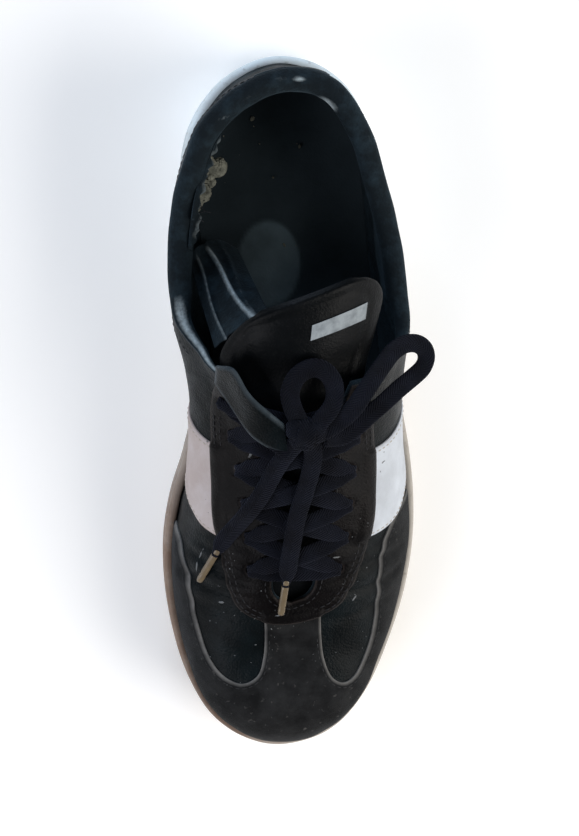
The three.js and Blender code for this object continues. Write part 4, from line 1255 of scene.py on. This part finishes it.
# The label: a small grey woven tab with nothing on it, flat on the tongue's outer half.
LABEL_FROM, LABEL_TO, LABEL_ACROSS = (2.5, 24.5), (104.6, 110.6), 40
u, v = np.meshgrid(np.linspace(*LABEL_TO, 10), np.linspace(*LABEL_FROM, LABEL_ACROSS), indexing="ij")
label_top = tongue_face(u, v, 1) + (0, 0, 0.55)
label_faces = grid_faces(*u.shape)
points, faces = slab(label_top.reshape(-1, 3), label_top.reshape(-1, 3) - (0, 0, 0.9), label_faces)
woven_label, tree, shader = new_material(
    "woven label", Roughness=0.85, Sheen_Weight=0.2, Sheen_Roughness=0.5
)
place = add(tree, "TexCoord").outputs["Object"]
thread = add(tree, "TexVoronoi", {"Vector": place, "Scale": 1000 / 0.7}, feature="F1")
fray = add(tree, "TexNoise", {"Vector": place, "Scale": 1000 / 4, "Detail": 5.0})
worn_thread = add(
    tree, "MapRange", {"Value": fray.outputs["Fac"], "From Min": 0.4, "From Max": 0.7, "To Max": 0.8}
)
faded = add(
    tree, "Mix", {0: worn_thread.outputs[0], 6: colour("#8a9399"), 7: colour("#5a6268")}, data_type="RGBA"
)
tree.links.new(faded.outputs[2], shader.inputs["Base Color"])
bump = add(tree, "Bump", {"Strength": 0.5, "Distance": 0.0002, "Height": thread.outputs["Distance"]})
tree.links.new(bump.outputs["Normal"], shader.inputs["Normal"])
piece("tongue_label", points, faces, woven_label, sharp=40)

# ---------------------------------------------------------------- lace
# One flat woven lace, near-black and fuzzy with wear. It runs straight across the lowest eyelets, crosses between the
# others, and is tied over the tongue in a bow with two short loops and two ends in tan plastic aglets.
LACE_WIDTH, LACE_THICKNESS = 7.2, 1.5
AGLET_RADIUS = 1.8
KNOT_AT = (-0.5, 2.6, 101.9)
LOOP_OUTER = [
    (5, 3, 101), (11, 6.5, 101.6), (16.5, 11.5, 102.8), (20.5, 17.5, 104), (24.5, 23, 102.2), (29, 28, 97.5),
    (33.5, 32.5, 93), (38.5, 35, 89.4), (43.5, 35, 86.5), (47, 32.6, 84.8), (48, 28.8, 84), (46.4, 25, 84.4),
    (42.3, 21.6, 86.2), (36.5, 17.6, 89.2), (30.5, 12.8, 91.7), (24.5, 8, 93.2), (19, 3.5, 94.6), (13.5, 0.5, 96.6),
    (7, 0.5, 99.8),
]
LOOP_UPRIGHT = [
    (-2.5, 5, 102), (-4, 8.5, 102.2), (-6, 13, 102.6), (-7, 17.5, 103), (-6.4, 21, 103.2), (-4.5, 24.6, 103.2),
    (-1.5, 27, 103), (1.5, 28, 102.8), (4.5, 27.6, 102.6), (7.5, 25.5, 102.4), (9.6, 22, 102.2), (10.2, 18, 102.2),
    (9.4, 14.4, 103.4), (7.6, 11.2, 103.5), (5.1, 8.2, 103.2), (3, 5, 102.8),
]
END_MIDDLE = [
    (0.5, 0, 99.6), (2, -3.5, 97.6), (2.5, -7.5, 95.8), (2.2, -11.5, 94.2), (1.5, -15.5, 92.6), (0.6, -19.5, 91.2),
    (-0.3, -23.5, 89.8), (-1.4, -27.5, 88.4), (-2.4, -31.5, 87), (-3.1, -35.5, 85.5), (-3.7, -39.5, 84),
    (-4.2, -43.5, 82.6), (-4.7, -47.5, 81.1), (-5.2, -51.5, 79.5), (-5.6, -55.5, 78.1), (-6.15, -60.8, 75.9),
]
END_INNER = [
    (-3, 0, 99.8), (-5, -2.5, 98), (-7.2, -5.5, 96.2), (-9.3, -8.6, 94.6), (-11.2, -12, 93), (-12.8, -15.4, 91),
    (-14.4, -18.8, 89.6), (-16, -22.2, 88), (-17.8, -25.6, 86.2), (-19.8, -29, 84.2), (-22, -32.4, 81.9),
    (-24.2, -36, 78.1), (-26.4, -39.4, 74.6), (-28.6, -42.6, 71.6), (-30.6, -45.8, 68.9), (-32.95, -50.3, 65.8),
]
AGLET_MIDDLE = [(-6.2, -61.2, 75.8), (-8, -78, 68.8)]
AGLET_INNER = [(-33.1, -50.6, 65.6), (-41, -66.5, 56.6)]

# Woven polyester: no shine, a chevron weave along the lace, and pale lint caught in it.
lace_cloth, tree, shader = new_material(
    "woven polyester lace", Roughness=0.95, Specular_IOR_Level=0.1, Sheen_Weight=0.12, Sheen_Roughness=0.5,
    Sheen_Tint=colour("#6f7690"),
)
run_value = add(tree, "Attribute", attribute_name="run")
side_value = add(tree, "Attribute", attribute_name="side")
fold = add(tree, "Math", {0: side_value.outputs["Fac"]}, operation="ABSOLUTE")
leaning = add(tree, "Math", {0: fold.outputs[0], 1: 1.1, 2: run_value.outputs["Fac"]}, operation="MULTIPLY_ADD")
ribs = add(tree, "Math", {0: leaning.outputs[0], 1: 2 * math.pi / 1.3}, operation="MULTIPLY")
rib_wave = add(tree, "Math", {0: ribs.outputs[0]}, operation="SINE")
place = add(tree, "TexCoord").outputs["Object"]
lint = add(tree, "TexNoise", {"Vector": place, "Scale": 1000 / 1.4, "Detail": 6.0, "Roughness": 0.8})
fade = add(tree, "TexNoise", {"Vector": place, "Scale": 1000 / 14, "Detail": 4.0})
fade_share = add(tree, "MapRange", {"Value": fade.outputs["Fac"], "From Min": 0.35, "From Max": 0.7})
cloth = add(
    tree, "Mix", {0: fade_share.outputs[0], 6: colour("#07080d"), 7: colour("#12151e")}, data_type="RGBA"
)
lint_share = add(
    tree, "MapRange", {"Value": lint.outputs["Fac"], "From Min": 0.64, "From Max": 0.85, "To Max": 0.5}
)
linted = add(
    tree, "Mix", {0: lint_share.outputs[0], 6: cloth.outputs[2], 7: colour("#4f5360")}, data_type="RGBA"
)
tree.links.new(linted.outputs[2], shader.inputs["Base Color"])
rib_bump = add(tree, "Bump", {"Strength": 0.7, "Distance": 0.00025, "Height": rib_wave.outputs[0]})
fuzz_bump = add(
    tree, "Bump",
    {"Strength": 0.4, "Distance": 0.0005, "Height": lint.outputs["Fac"], "Normal": rib_bump.outputs["Normal"]},
)
tree.links.new(fuzz_bump.outputs["Normal"], shader.inputs["Normal"])

BAND_SECTION = 18


def band(centre, side, width, thickness):
    """A flat band along a line: a rounded rectangle, by powers of sine and cosine, set square to the line with its
    width along side, and closed by a fan at both ends. Gives points, faces, and the weave's run and side values."""
    t = unit(np.gradient(centre, axis=0))
    s = unit(side - t * (side * t).sum(1)[:, None])
    n = np.cross(t, s)
    angle = np.arange(BAND_SECTION) * 2 * np.pi / BAND_SECTION
    across = np.sign(np.cos(angle)) * np.abs(np.cos(angle)) ** 0.5
    height = np.sign(np.sin(angle)) * np.abs(np.sin(angle)) ** 0.75
    width, thickness = np.broadcast_to(width, len(centre)), np.broadcast_to(thickness, len(centre))
    sideways, raised = across * width[:, None] / 2, height * thickness[:, None] / 2
    rings = centre[:, None] + (s[:, None] * sideways[..., None] + n[:, None] * raised[..., None])
    points = np.vstack([rings.reshape(-1, 3), centre[:1] - t[:1] * 0.3, centre[-1:] + t[-1:] * 0.3])
    run = np.concatenate([[0], np.cumsum(np.linalg.norm(np.diff(centre, axis=0), axis=1))])
    runs = np.concatenate([np.repeat(run, BAND_SECTION), [run[0], run[-1]]])
    sides = np.concatenate([sideways.ravel(), [0, 0]])
    return points, tube_faces(len(centre), BAND_SECTION), runs, sides


def joined(bands):
    """Several bands as one set of points, faces and values."""
    starts = np.cumsum([0] + [len(b[0]) for b in bands[:-1]])
    faces = np.concatenate([b[1] + k for b, k in zip(bands, starts)])
    return np.vstack([b[0] for b in bands]), faces, *(np.concatenate([b[i] for b in bands]) for i in (2, 3))


def woven(name, parts):
    """Bands joined into one piece of lace, with the weave's run and side values."""
    points, faces, runs, sides = joined(parts)
    return piece(name, points, faces, lace_cloth, sharp=0, values={"run": runs, "side": sides})


HOLE_DEPTH, GATHER, THICKEN = 3.4, 3.2, 0.7


def out_of_hole(p, n, clear):
    """The start of a band: from under an eyelet up through its middle until it is clear of the leather."""
    return np.stack([p - n * HOLE_DEPTH, p - n * 0.6, p + n * clear])


def gathered_band(centre, heading, from_hole):
    """A band that lies level across its heading and gathers, narrower and thicker, near a hole."""
    side = np.tile(unit(np.array([heading[1], -heading[0], 0.0])), (len(centre), 1))
    gathered = 1 - ramp(from_hole, 1.5, 7.5)
    return band(centre, side, LACE_WIDTH - GATHER * gathered, LACE_THICKNESS + THICKEN * gathered)


def crossing(start, end, over):
    """A band from one eyelet to another: up out of the first hole, over the throat along the skin's line, higher in
    its middle where it crosses another, and down into the second. Its width gathers where it enters the holes."""
    (p0, n0), (p1, n1) = start, end
    share = np.array([0.13, 0.22, 0.36, 0.5, 0.64, 0.78, 0.87])
    flat = p0[:2] + (p1[:2] - p0[:2]) * share[:, None]
    high, _ = on_top(flat[:, 0], HEEL_Y - flat[:, 1], 0)
    lift = 2.3 + over * np.sin(np.pi * share) ** 2
    above = np.column_stack([flat, high[:, 2] + lift])
    route = np.vstack([out_of_hole(p0, n0, 1.7), above, out_of_hole(p1, n1, 1.7)[::-1]])
    centre = evenly(through(route, 10), 84)
    from_hole = np.minimum(np.linalg.norm(centre - p0, axis=1), np.linalg.norm(centre - p1, axis=1))
    return gathered_band(centre, p1[:2] - p0[:2], from_hole)


def eyelet(side, row, nudge):
    """An eyelet's middle, moved along the shoe by nudge so that two stretches share a hole, and its normal."""
    p, n = eyelet_points[side, row], eyelet_normals[side, row]
    return p + (0, -nudge, 0), n


web = [crossing(eyelet(0, EYELET_ROWS - 1, 0.5), eyelet(1, EYELET_ROWS - 1, 0.5), 0.0)]
for row in range(EYELET_ROWS - 1):
    web.append(crossing(eyelet(0, row, 0.6), eyelet(1, row + 1, -0.6), 0.2))
    web.append(crossing(eyelet(1, row, 0.6), eyelet(0, row + 1, -0.6), 1.9))


def to_knot(side):
    """The band from a top eyelet over the tongue and up under the knot."""
    p, n = eyelet(side, 0, -0.5)
    under = np.array(KNOT_AT) + ((-5.5, -8.5, -5.2) if side == 0 else (-3, -1.5, -2.0))
    share = np.array([0.25, 0.45, 0.65, 0.85])[:, None]
    bowed = p + (under - p) * share + np.array([0, 0, 3.2]) * np.sin(np.pi * share)
    centre = evenly(through(np.vstack([out_of_hole(p, n, 1.8), bowed, under]), 10), 60)
    return gathered_band(centre, under - p, np.linalg.norm(centre - p, axis=1))


web += [to_knot(0), to_knot(1)]
lace_web = woven("lace_web", web)
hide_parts("lace_bars")

# The knot: the band wrapped once over the two loops' roots, with the roots bulging on both sides. Each row is a route
# round the knot's middle, with the band's width and thickness on it.
WRAPS = [
    (
        [(1.5, 5.4, -2.2), (0.8, 4.6, 0.6), (0, 1.5, 2.4), (-0.6, -1.8, 2.3), (-1.4, -4.9, 0.3), (-1.8, -5.4, -2.4)],
        7.4, 1.9,
    ),
    ([(-7.2, 1.6, -1.4), (-4.8, 1.8, 0.9), (-1, 0.6, 1.0), (3.6, 0.4, 1.0), (7.2, -0.4, -1.2)], 8.4, 3.2),
    ([(-5.6, -4.2, -2.2), (-3.2, -3.2, 0.1), (1.5, -2.4, 0.4), (5.4, 3.4, -1.6)], 6.6, 2.6),
]
knot_parts = []
for offsets, width, thickness in WRAPS:
    centre = evenly(through(np.add(offsets, KNOT_AT), 12), 40)
    overall = unit(np.cross(centre[-1] - centre[0], (0, 0, 1.0)))
    ends = 1 - 0.35 * np.abs(np.linspace(-1, 1, len(centre))) ** 3
    knot_parts.append(band(centre, np.tile(overall, (len(centre), 1)), width * ends, thickness * ends))
knot = woven("lace_knot_tied", knot_parts)
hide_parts("lace_knot")


def cord_band(name, route, tapered):
    """A loose stretch: the band lies flat along the route, leans up a little where the route bends sharply, and
    gathers to the aglet's size at a tapered end."""
    centre = evenly(through(route, 10), 12 * len(route))
    t = unit(np.gradient(centre, axis=0))
    run = np.linalg.norm(np.diff(centre, axis=0), axis=1).sum()
    bend = np.linalg.norm(np.gradient(t, axis=0), axis=1) / (run / len(centre))
    smooth = np.convolve(np.pad(bend, 8, mode="edge"), np.ones(17) / 17, mode="valid")
    standing = 0.15 * ramp(smooth, 0.05, 0.17)[:, None]
    lying = unit(np.cross(t, (0.0, 0.0, 1.0)))
    side = lying * (1 - standing) + np.array([0, 0, 1.0]) * standing
    left = run * (1 - np.linspace(0, 1, len(centre)))
    gathered = 1 - ramp(left, 1.0, 9.0) if tapered else 0 * left
    width = LACE_WIDTH - (LACE_WIDTH - 2.8) * gathered
    made = woven(name, [band(centre, side, width, LACE_THICKNESS + 1.0 * gathered)])
    return made, centre, run * 0.001


def aglet_sleeve(name, ends):
    """A plastic sleeve crimped on the lace's end: a slim drum with rounded rims and two pressed rings."""
    start, stop = np.array(ends, float)
    length = np.linalg.norm(stop - start)
    share = np.array([0, 0.02, 0.05, 0.12, 0.16, 0.2, 0.28, 0.5, 0.72, 0.78, 0.82, 0.9, 0.96, 0.99, 1])
    radius = np.array([0.6, 0.85, 1.0, 1.0, 0.84, 1.0, 1.0, 0.98, 1.0, 0.86, 1.0, 0.98, 0.9, 0.7, 0.4])
    centre = start + (stop - start) * share[:, None]
    side = np.tile(unit(np.cross(stop - start, (0, 0, 1.0))), (len(centre), 1))
    points, faces, _, _ = band(centre, side, 1.6 * AGLET_RADIUS * radius, 1.4 * AGLET_RADIUS * radius)
    return piece(name, points, faces, aglet_plastic, sharp=50)


# Clear acetate gone tan with age, in clouds: smooth, and a little light passes into it.
aglet_plastic, tree, shader = new_material(
    "aged acetate", Roughness=0.34, IOR=1.48, Subsurface_Weight=0.15, Subsurface_Radius=(0.001, 0.0008, 0.0005)
)
place = add(tree, "TexCoord").outputs["Object"]
cloud = add(tree, "TexNoise", {"Vector": place, "Scale": 1000 / 3, "Detail": 4.0})
tinted = add(
    tree, "Mix", {0: cloud.outputs["Fac"], 6: colour("#52473a"), 7: colour("#76684f")}, data_type="RGBA"
)
tree.links.new(tinted.outputs[2], shader.inputs["Base Color"])

for name, node_name, route, aglet in (
    ("lace_loop_outer_band", "lace_loop_outer", LOOP_OUTER, None),
    ("lace_loop_upright_band", "lace_loop_upright", LOOP_UPRIGHT, None),
    ("lace_end_middle_band", "lace_end_middle", END_MIDDLE, AGLET_MIDDLE),
    ("lace_end_inner_band", "lace_end_inner", END_INNER, AGLET_INNER),
):
    if aglet:
        route = route + [tuple(np.add(aglet[0], np.subtract(aglet[1], aglet[0]) * 0.25))]
    made, centre, length = cord_band(name, route, bool(aglet))
    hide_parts(node_name)
    if aglet:
        sleeve = aglet_sleeve(node_name.replace("lace_end", "aglet") + "_sleeve", aglet)
        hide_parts(node_name.replace("lace_end", "aglet"))

# The tongue's hem is sewn through its padding, down both sides and across its free end.
for side in (1, -1):
    stops = np.linspace(99, 132, 60)
    hem = tongue_face(stops, side * (read(TONGUE_HALF, stops) - HEM), 1)
    dark_rows.append(row_of(hem - (0, 0, 0.1), np.tile((0.0, 0.0, 1.0), (60, 1)), STITCH_PITCH))
hem = tongue_face(np.full(80, TONGUE_TIP + HEM), np.linspace(-21, 21, 80), 1)
dark_rows.append(row_of(hem - (0, 0, 0.1), np.tile((0.0, 0.0, 1.0), (80, 1)), STITCH_PITCH))
stitches("upper_stitches", dark_rows, STITCH_PITCH, STITCH_RADIUS, black_thread)
stitches("panel_stitches", pale_rows, STITCH_PITCH, STITCH_RADIUS, pale_thread)
stitches("sole_stitches", sole_rows, SOLE_STITCH_PITCH, SOLE_STITCH_RADIUS, pale_thread)

# ---------------------------------------------------------------- wear
# The collar's lining has torn open inside, at the inner ankle: its ragged lip stands round grey-green foam that is
# breaking up, and crumbs of it have dropped on the lining and the insole. Loose threads stand along the tear.
TEAR_AT, TEAR_HALF = (50.0, 64.0), (17.0, 8.0)


def lining_at(a, b):
    """The lining's face inside the collar, by the upper's own places round the shoe and up the section."""
    p = side_at(a, b)
    return p - normal_at(side_at, a, b) * wall(HEEL_Y - p[..., 1], p[..., 2])[..., None]


def off_tear(p):
    """The distance to the tear's edge in side view: an ellipse with a ragged rim, in waves of its bearing."""
    x, z = (HEEL_Y - p[..., 1] - TEAR_AT[0]) / TEAR_HALF[0], (p[..., 2] - TEAR_AT[1]) / TEAR_HALF[1]
    bearing = np.arctan2(z, x)
    ragged = 1 + 0.16 * np.sin(3 * bearing + 1) + 0.12 * np.sin(7 * bearing) + 0.07 * np.sin(13 * bearing + 2)
    return (np.hypot(x, z) - ragged) * TEAR_HALF[1]


def inside_patch(name, distance, heights, material, cell=0.6):
    """A closed sheet on the lining's face, raised into the shoe by heights of its places and distances."""
    tear_arc = float(arc_of(TEAR_AT[0], True))
    a, b, d, faces = cut_grid(lining_at, (tear_arc - 30, tear_arc + 30), (8, 70), cell, distance)
    p = lining_at(a, b)
    inwards = -normal_at(lining_at, a, b, 0.4)
    points, faces = slab(p + inwards * heights(a, b, d, p)[:, None], p - inwards * 0.8, faces)
    near_hole = bell(off_tear(points) / 1.5)
    return piece(name, points, faces, material, sharp=60, values={"worn": near_hole * 0.6})


def foam_height(a, b, d, p):
    """The foam's height: two bells and lumps, products of two sines, that rise inwards from its edge."""
    along, z = HEEL_Y - p[:, 1], p[:, 2]
    swollen = 7.5 * bell((along - 45) / 4.5, (z - 66) / 6)
    swollen += 5.5 * bell((along - 55) / 6, (z - 64) / 6)
    lumps = np.sin(along * 1.3) * np.sin(z * 1.7 + 1) + 0.6 * np.sin(along * 2.9 + z) * np.sin(z * 2.5)
    return 0.5 + swollen * ramp(-d, 0, 4) + 0.8 * lumps * ramp(-d, 0, 2)


def lip_height(a, b, d, p):
    """The lip's height: a bell over the tear's edge, times a curl that varies by two sine terms."""
    to_hole = off_tear(p)
    along, z = HEEL_Y - p[:, 1], p[:, 2]
    curl = bell(to_hole / 2.2)
    return 0.25 + curl * (
        1.9 + 1.1 * np.sin(along * 0.9) * np.sin(along * 0.31 + 1) + 0.9 * np.sin(z * 1.1 + along * 0.6)
    )


# Polyurethane foam: dull, open-celled, gone grey-green and dark with age.
foam, tree, shader = new_material("aged polyurethane foam", Roughness=0.95, Specular_IOR_Level=0.15)
place = add(tree, "TexCoord").outputs["Object"]
cells = add(tree, "TexVoronoi", {"Vector": place, "Scale": 1000 / 1.0}, feature="F1")
stain = add(tree, "TexNoise", {"Vector": place, "Scale": 1000 / 5, "Detail": 5.0})
stain_share = add(tree, "MapRange", {"Value": stain.outputs["Fac"], "From Min": 0.35, "From Max": 0.65})
aged = add(
    tree, "Mix", {0: stain_share.outputs[0], 6: colour("#77786e"), 7: colour("#43453f")}, data_type="RGBA"
)
tree.links.new(aged.outputs[2], shader.inputs["Base Color"])
bump = add(
    tree, "Bump", {"Strength": 0.9, "Distance": 0.0006, "Height": cells.outputs["Distance"]}, invert=True
)
tree.links.new(bump.outputs["Normal"], shader.inputs["Normal"])
torn_foam = inside_patch("torn_foam", off_tear, foam_height, foam)
inside_patch(
    "torn_lining_lip", lambda p: np.abs(off_tear(p) - 1.6) - 1.9, lip_height, lining_knit, 0.5
)

# Crumbs: lumps up to about 3 mm across on the lining at the tear and on the insole below it, and four larger lumps of
# foam in the tear.
CRUMBS_ON_LINING, CRUMBS_ON_INSOLE = 30, 12


def pebbles(name, at, heading, normal, size, material, slot, rows=5, around=7, uneven=0.3):
    """Many closed lumps as one mesh: balls whose radius varies at random from corner to corner, stretched to their
    three half sizes along their heading, across it and along their normal."""
    count = len(at)
    rise = (np.arange(rows) + 1) * np.pi / (rows + 1)
    turn = np.arange(around) * 2 * np.pi / around
    ball = np.stack([
        np.sin(rise)[:, None] * np.cos(turn), np.sin(rise)[:, None] * np.sin(turn), np.cos(rise)[:, None] + 0 * turn,
    ], -1).reshape(-1, 3)
    ball = np.vstack([ball, (0, 0, 1), (0, 0, -1)])
    radius = 1 + rng.uniform(-uneven, uneven, (count, len(ball), 1))
    axes = np.stack([heading, np.cross(normal, heading), normal], 1)
    points = at[:, None] + (ball * radius * size[:, None]) @ axes
    faces = copied(tube_faces(rows, around), count, len(ball))
    return piece(name, points, faces, material, sharp=0)


def any_way(count):
    """Level headings at random, and the upward normals that go with them."""
    bearing = rng.uniform(0, 2 * np.pi, count)
    return np.stack([np.cos(bearing), np.sin(bearing), 0 * bearing], -1), np.tile((0.0, 0.0, 1.0), (count, 1))


crumb_along = np.concatenate([rng.uniform(32, 74, CRUMBS_ON_LINING), rng.uniform(24, 84, CRUMBS_ON_INSOLE)])
crumb_size = rng.uniform(0.35, 1.0, (len(crumb_along), 1)) ** 2 * rng.uniform(0.6, 1.4, (len(crumb_along), 3))
lining_arcs = arc_of(crumb_along[:CRUMBS_ON_LINING], True)
on_lining = lining_at(lining_arcs, rng.uniform(7.5, 12.5, CRUMBS_ON_LINING)) + (0.3, 0, 0)
insole_x = rng.uniform(-30, 6, CRUMBS_ON_INSOLE)
insole_y = HEEL_Y - crumb_along[CRUMBS_ON_LINING:]
on_insole = cup_floor(insole_x, insole_y) + (0, 0, 1.2 + INSOLE_THICKNESS)
pebbles(
    "foam_crumbs", np.concatenate([on_lining, on_insole]), *any_way(len(crumb_along)), crumb_size, foam, "foam_fabric"
)
FOAM_LUMPS = [(-32, 45.5, 64, 4.0), (-35, 51.5, 65.5, 2.1), (-36.5, 56, 65, 1.5), (-35.5, 49, 68, 1.8)]
lump_at = np.array([(x, HEEL_Y - along, z) for x, along, z, _ in FOAM_LUMPS])
lump_size = np.array([(r, 0.85 * r, 0.8 * r) for *_, r in FOAM_LUMPS])
pebbles(
    "foam_lumps", lump_at, *any_way(len(lump_at)), lump_size, foam, "foam_fabric", rows=14, around=20, uneven=0.07
)

# The gusset: a web of lining cloth from under the tongue's inner edge down to the ankle's lining. It has bunched into
# three folds whose ridges are painted pale as highlights.
GUSSET_TOP = [(-34.5, 115, 80), (-29, 109, 86), (-22, 104.5, 90), (-14, 100.5, 92.5)]
GUSSET_LOW = [(-44.5, 80, 55), (-38, 76, 47), (-31, 75, 40), (-23, 79, 34)]
GUSSET_FOLDS = [(0.34, 0.42, 0.055, 4.4), (0.12, 0.1, 0.05, 3.0), (0.62, 0.2, 0.05, 2.0)]
top_line = evenly(through(GUSSET_TOP, 10), 70)
low_line = evenly(through(GUSSET_LOW, 10), 70)
fall = np.linspace(0, 1, 60)[:, None, None]
web_sheet = top_line[None] * (1 - fall) + low_line[None] * fall
spread = np.linspace(0, 1, 70)[None, :]
from_ankle = 1 - fall[..., 0]
folded = sum(
    height * bell((spread - at - drift * from_ankle - 0.03 * np.sin(7 * from_ankle)) / width)
    for at, drift, width, height in GUSSET_FOLDS
)
sag = -5.0 * np.sin(np.pi * fall[..., 0]) + folded * np.sin(np.pi * np.clip(fall[..., 0] * 0.9 + 0.12, 0, 1)) ** 0.6
web_sheet = web_sheet + np.stack([0.25 * folded, 0 * folded, 0 * folded], -1)
web_sheet[..., 2] += sag
web_sheet[..., 1] = HEEL_Y - web_sheet[..., 1]
points, faces = slab(
    web_sheet.reshape(-1, 3), web_sheet.reshape(-1, 3) - (0, 0, 0.9), grid_faces(60, 70)
)
# Painted highlight on the fold ridges, given to the lining through its worn value.
ridge_highlight = np.tile(((folded / 4.4) ** 2 * ramp(from_ankle, 0.0, 0.1)).ravel(), 2) * 1.3
gusset = piece("tongue_gusset", points, faces, lining_knit, sharp=0, values={"worn": ridge_highlight})

# Lint and grit on the upper: thin grey flakes, most of them under a millimetre, and a few longer pale marks: dust
# marks on the suede, and painted glints on the leather and the eyestay's front edge.
FLAKES = 90
FLAKE_SPREAD = ((-38, 34), (128, 262))
# The first five and the last are painted glints, the last on the eyestay's front edge; the four between are dust
# marks on the suede.
GLINTS_AND_DUST_MARKS = [
    (-20, 156, 1.6, 0.7), (-17, 207, 1.4, 0.6), (33, 163, 1.5, 0.4), (2, 204, 1.8, 0.4), (14, 201, 1.6, 0.4),
    (-40, 203, 3.0, 0.5), (-41.5, 209, 2.4, 0.5), (-32, 223, 1.5, 0.6), (23, 222, 1.8, 0.5), (-8, 226, 2.6, 0.3),
]
glint_and_dust_x, glint_and_dust_along, glint_and_dust_long, glint_and_dust_wide = np.array(GLINTS_AND_DUST_MARKS).T
flake_x = np.concatenate([rng.uniform(*FLAKE_SPREAD[0], FLAKES), glint_and_dust_x])
flake_along = np.concatenate([rng.uniform(*FLAKE_SPREAD[1], FLAKES), glint_and_dust_along])
flake_long = np.concatenate([rng.uniform(0.4, 1, FLAKES) ** 2 * 0.55, glint_and_dust_long])
flake_wide = np.concatenate([rng.uniform(0.4, 1, FLAKES) ** 2 * 0.4, glint_and_dust_wide])
flake_points, flake_normals = on_top(flake_x, flake_along, 0.0)
at_plan = plan(flake_points)
on_layers = (
    OVERLAY * (off_toe_piece(flake_points) < 0) + EYESTAY_THICKNESS * (distance_to(EYESTAY, at_plan) < 0)
    + PANEL_THICKNESS * (off_side_panel(flake_points) < 0)
)
kept = (flake_points[:, 2] > read(RIM_TOP, at_plan[:, 1]) + 2) & (distance_to(THROAT_OUTLINE, at_plan) > 1)
toward = unit(np.cross(flake_normals, np.stack([np.sin(flake_along), np.cos(flake_along), 0 * flake_x], -1)))
# Their grey serves both real lint and the painted glints.
lint_and_glint_flakes, _, _ = new_material(
    "lint and grit", Base_Color=colour("#66696b"), Roughness=0.9, Specular_IOR_Level=0.2
)
pebbles(
    "lint_and_glint_flakes", (flake_points + flake_normals * on_layers[:, None])[kept], toward[kept], flake_normals[kept],
    np.stack([flake_long, flake_wide, 0 * flake_x + 0.16], -1)[kept], lint_and_glint_flakes, "thread_fabric", rows=3, around=6
)

# Loose threads, from two to eight millimetres long, along the tear.
THREADS = 14
thread_bands = []
for _ in range(THREADS):
    root = lining_at(arc_of(rng.uniform(36, 64), True), rng.uniform(9, 13)) + (0.6, 0, 0)
    lean = unit(np.array([rng.uniform(0.2, 1), rng.uniform(-1, 1), rng.uniform(-0.2, 0.9)]))
    reach_of = rng.uniform(2, 8)
    curl = rng.uniform(-1, 1, 3) * reach_of * 0.35
    share = np.linspace(0, 1, 9)[:, None]
    line = root + lean * reach_of * share + curl * np.sin(share * rng.uniform(2, 4)) * share
    thread_bands.append(band(line, np.tile((0.0, 0.3, 1.0), (9, 1)), 0.28, 0.28))
points, faces, _, _ = joined(thread_bands)
piece("loose_threads", points, faces, black_thread, sharp=0)
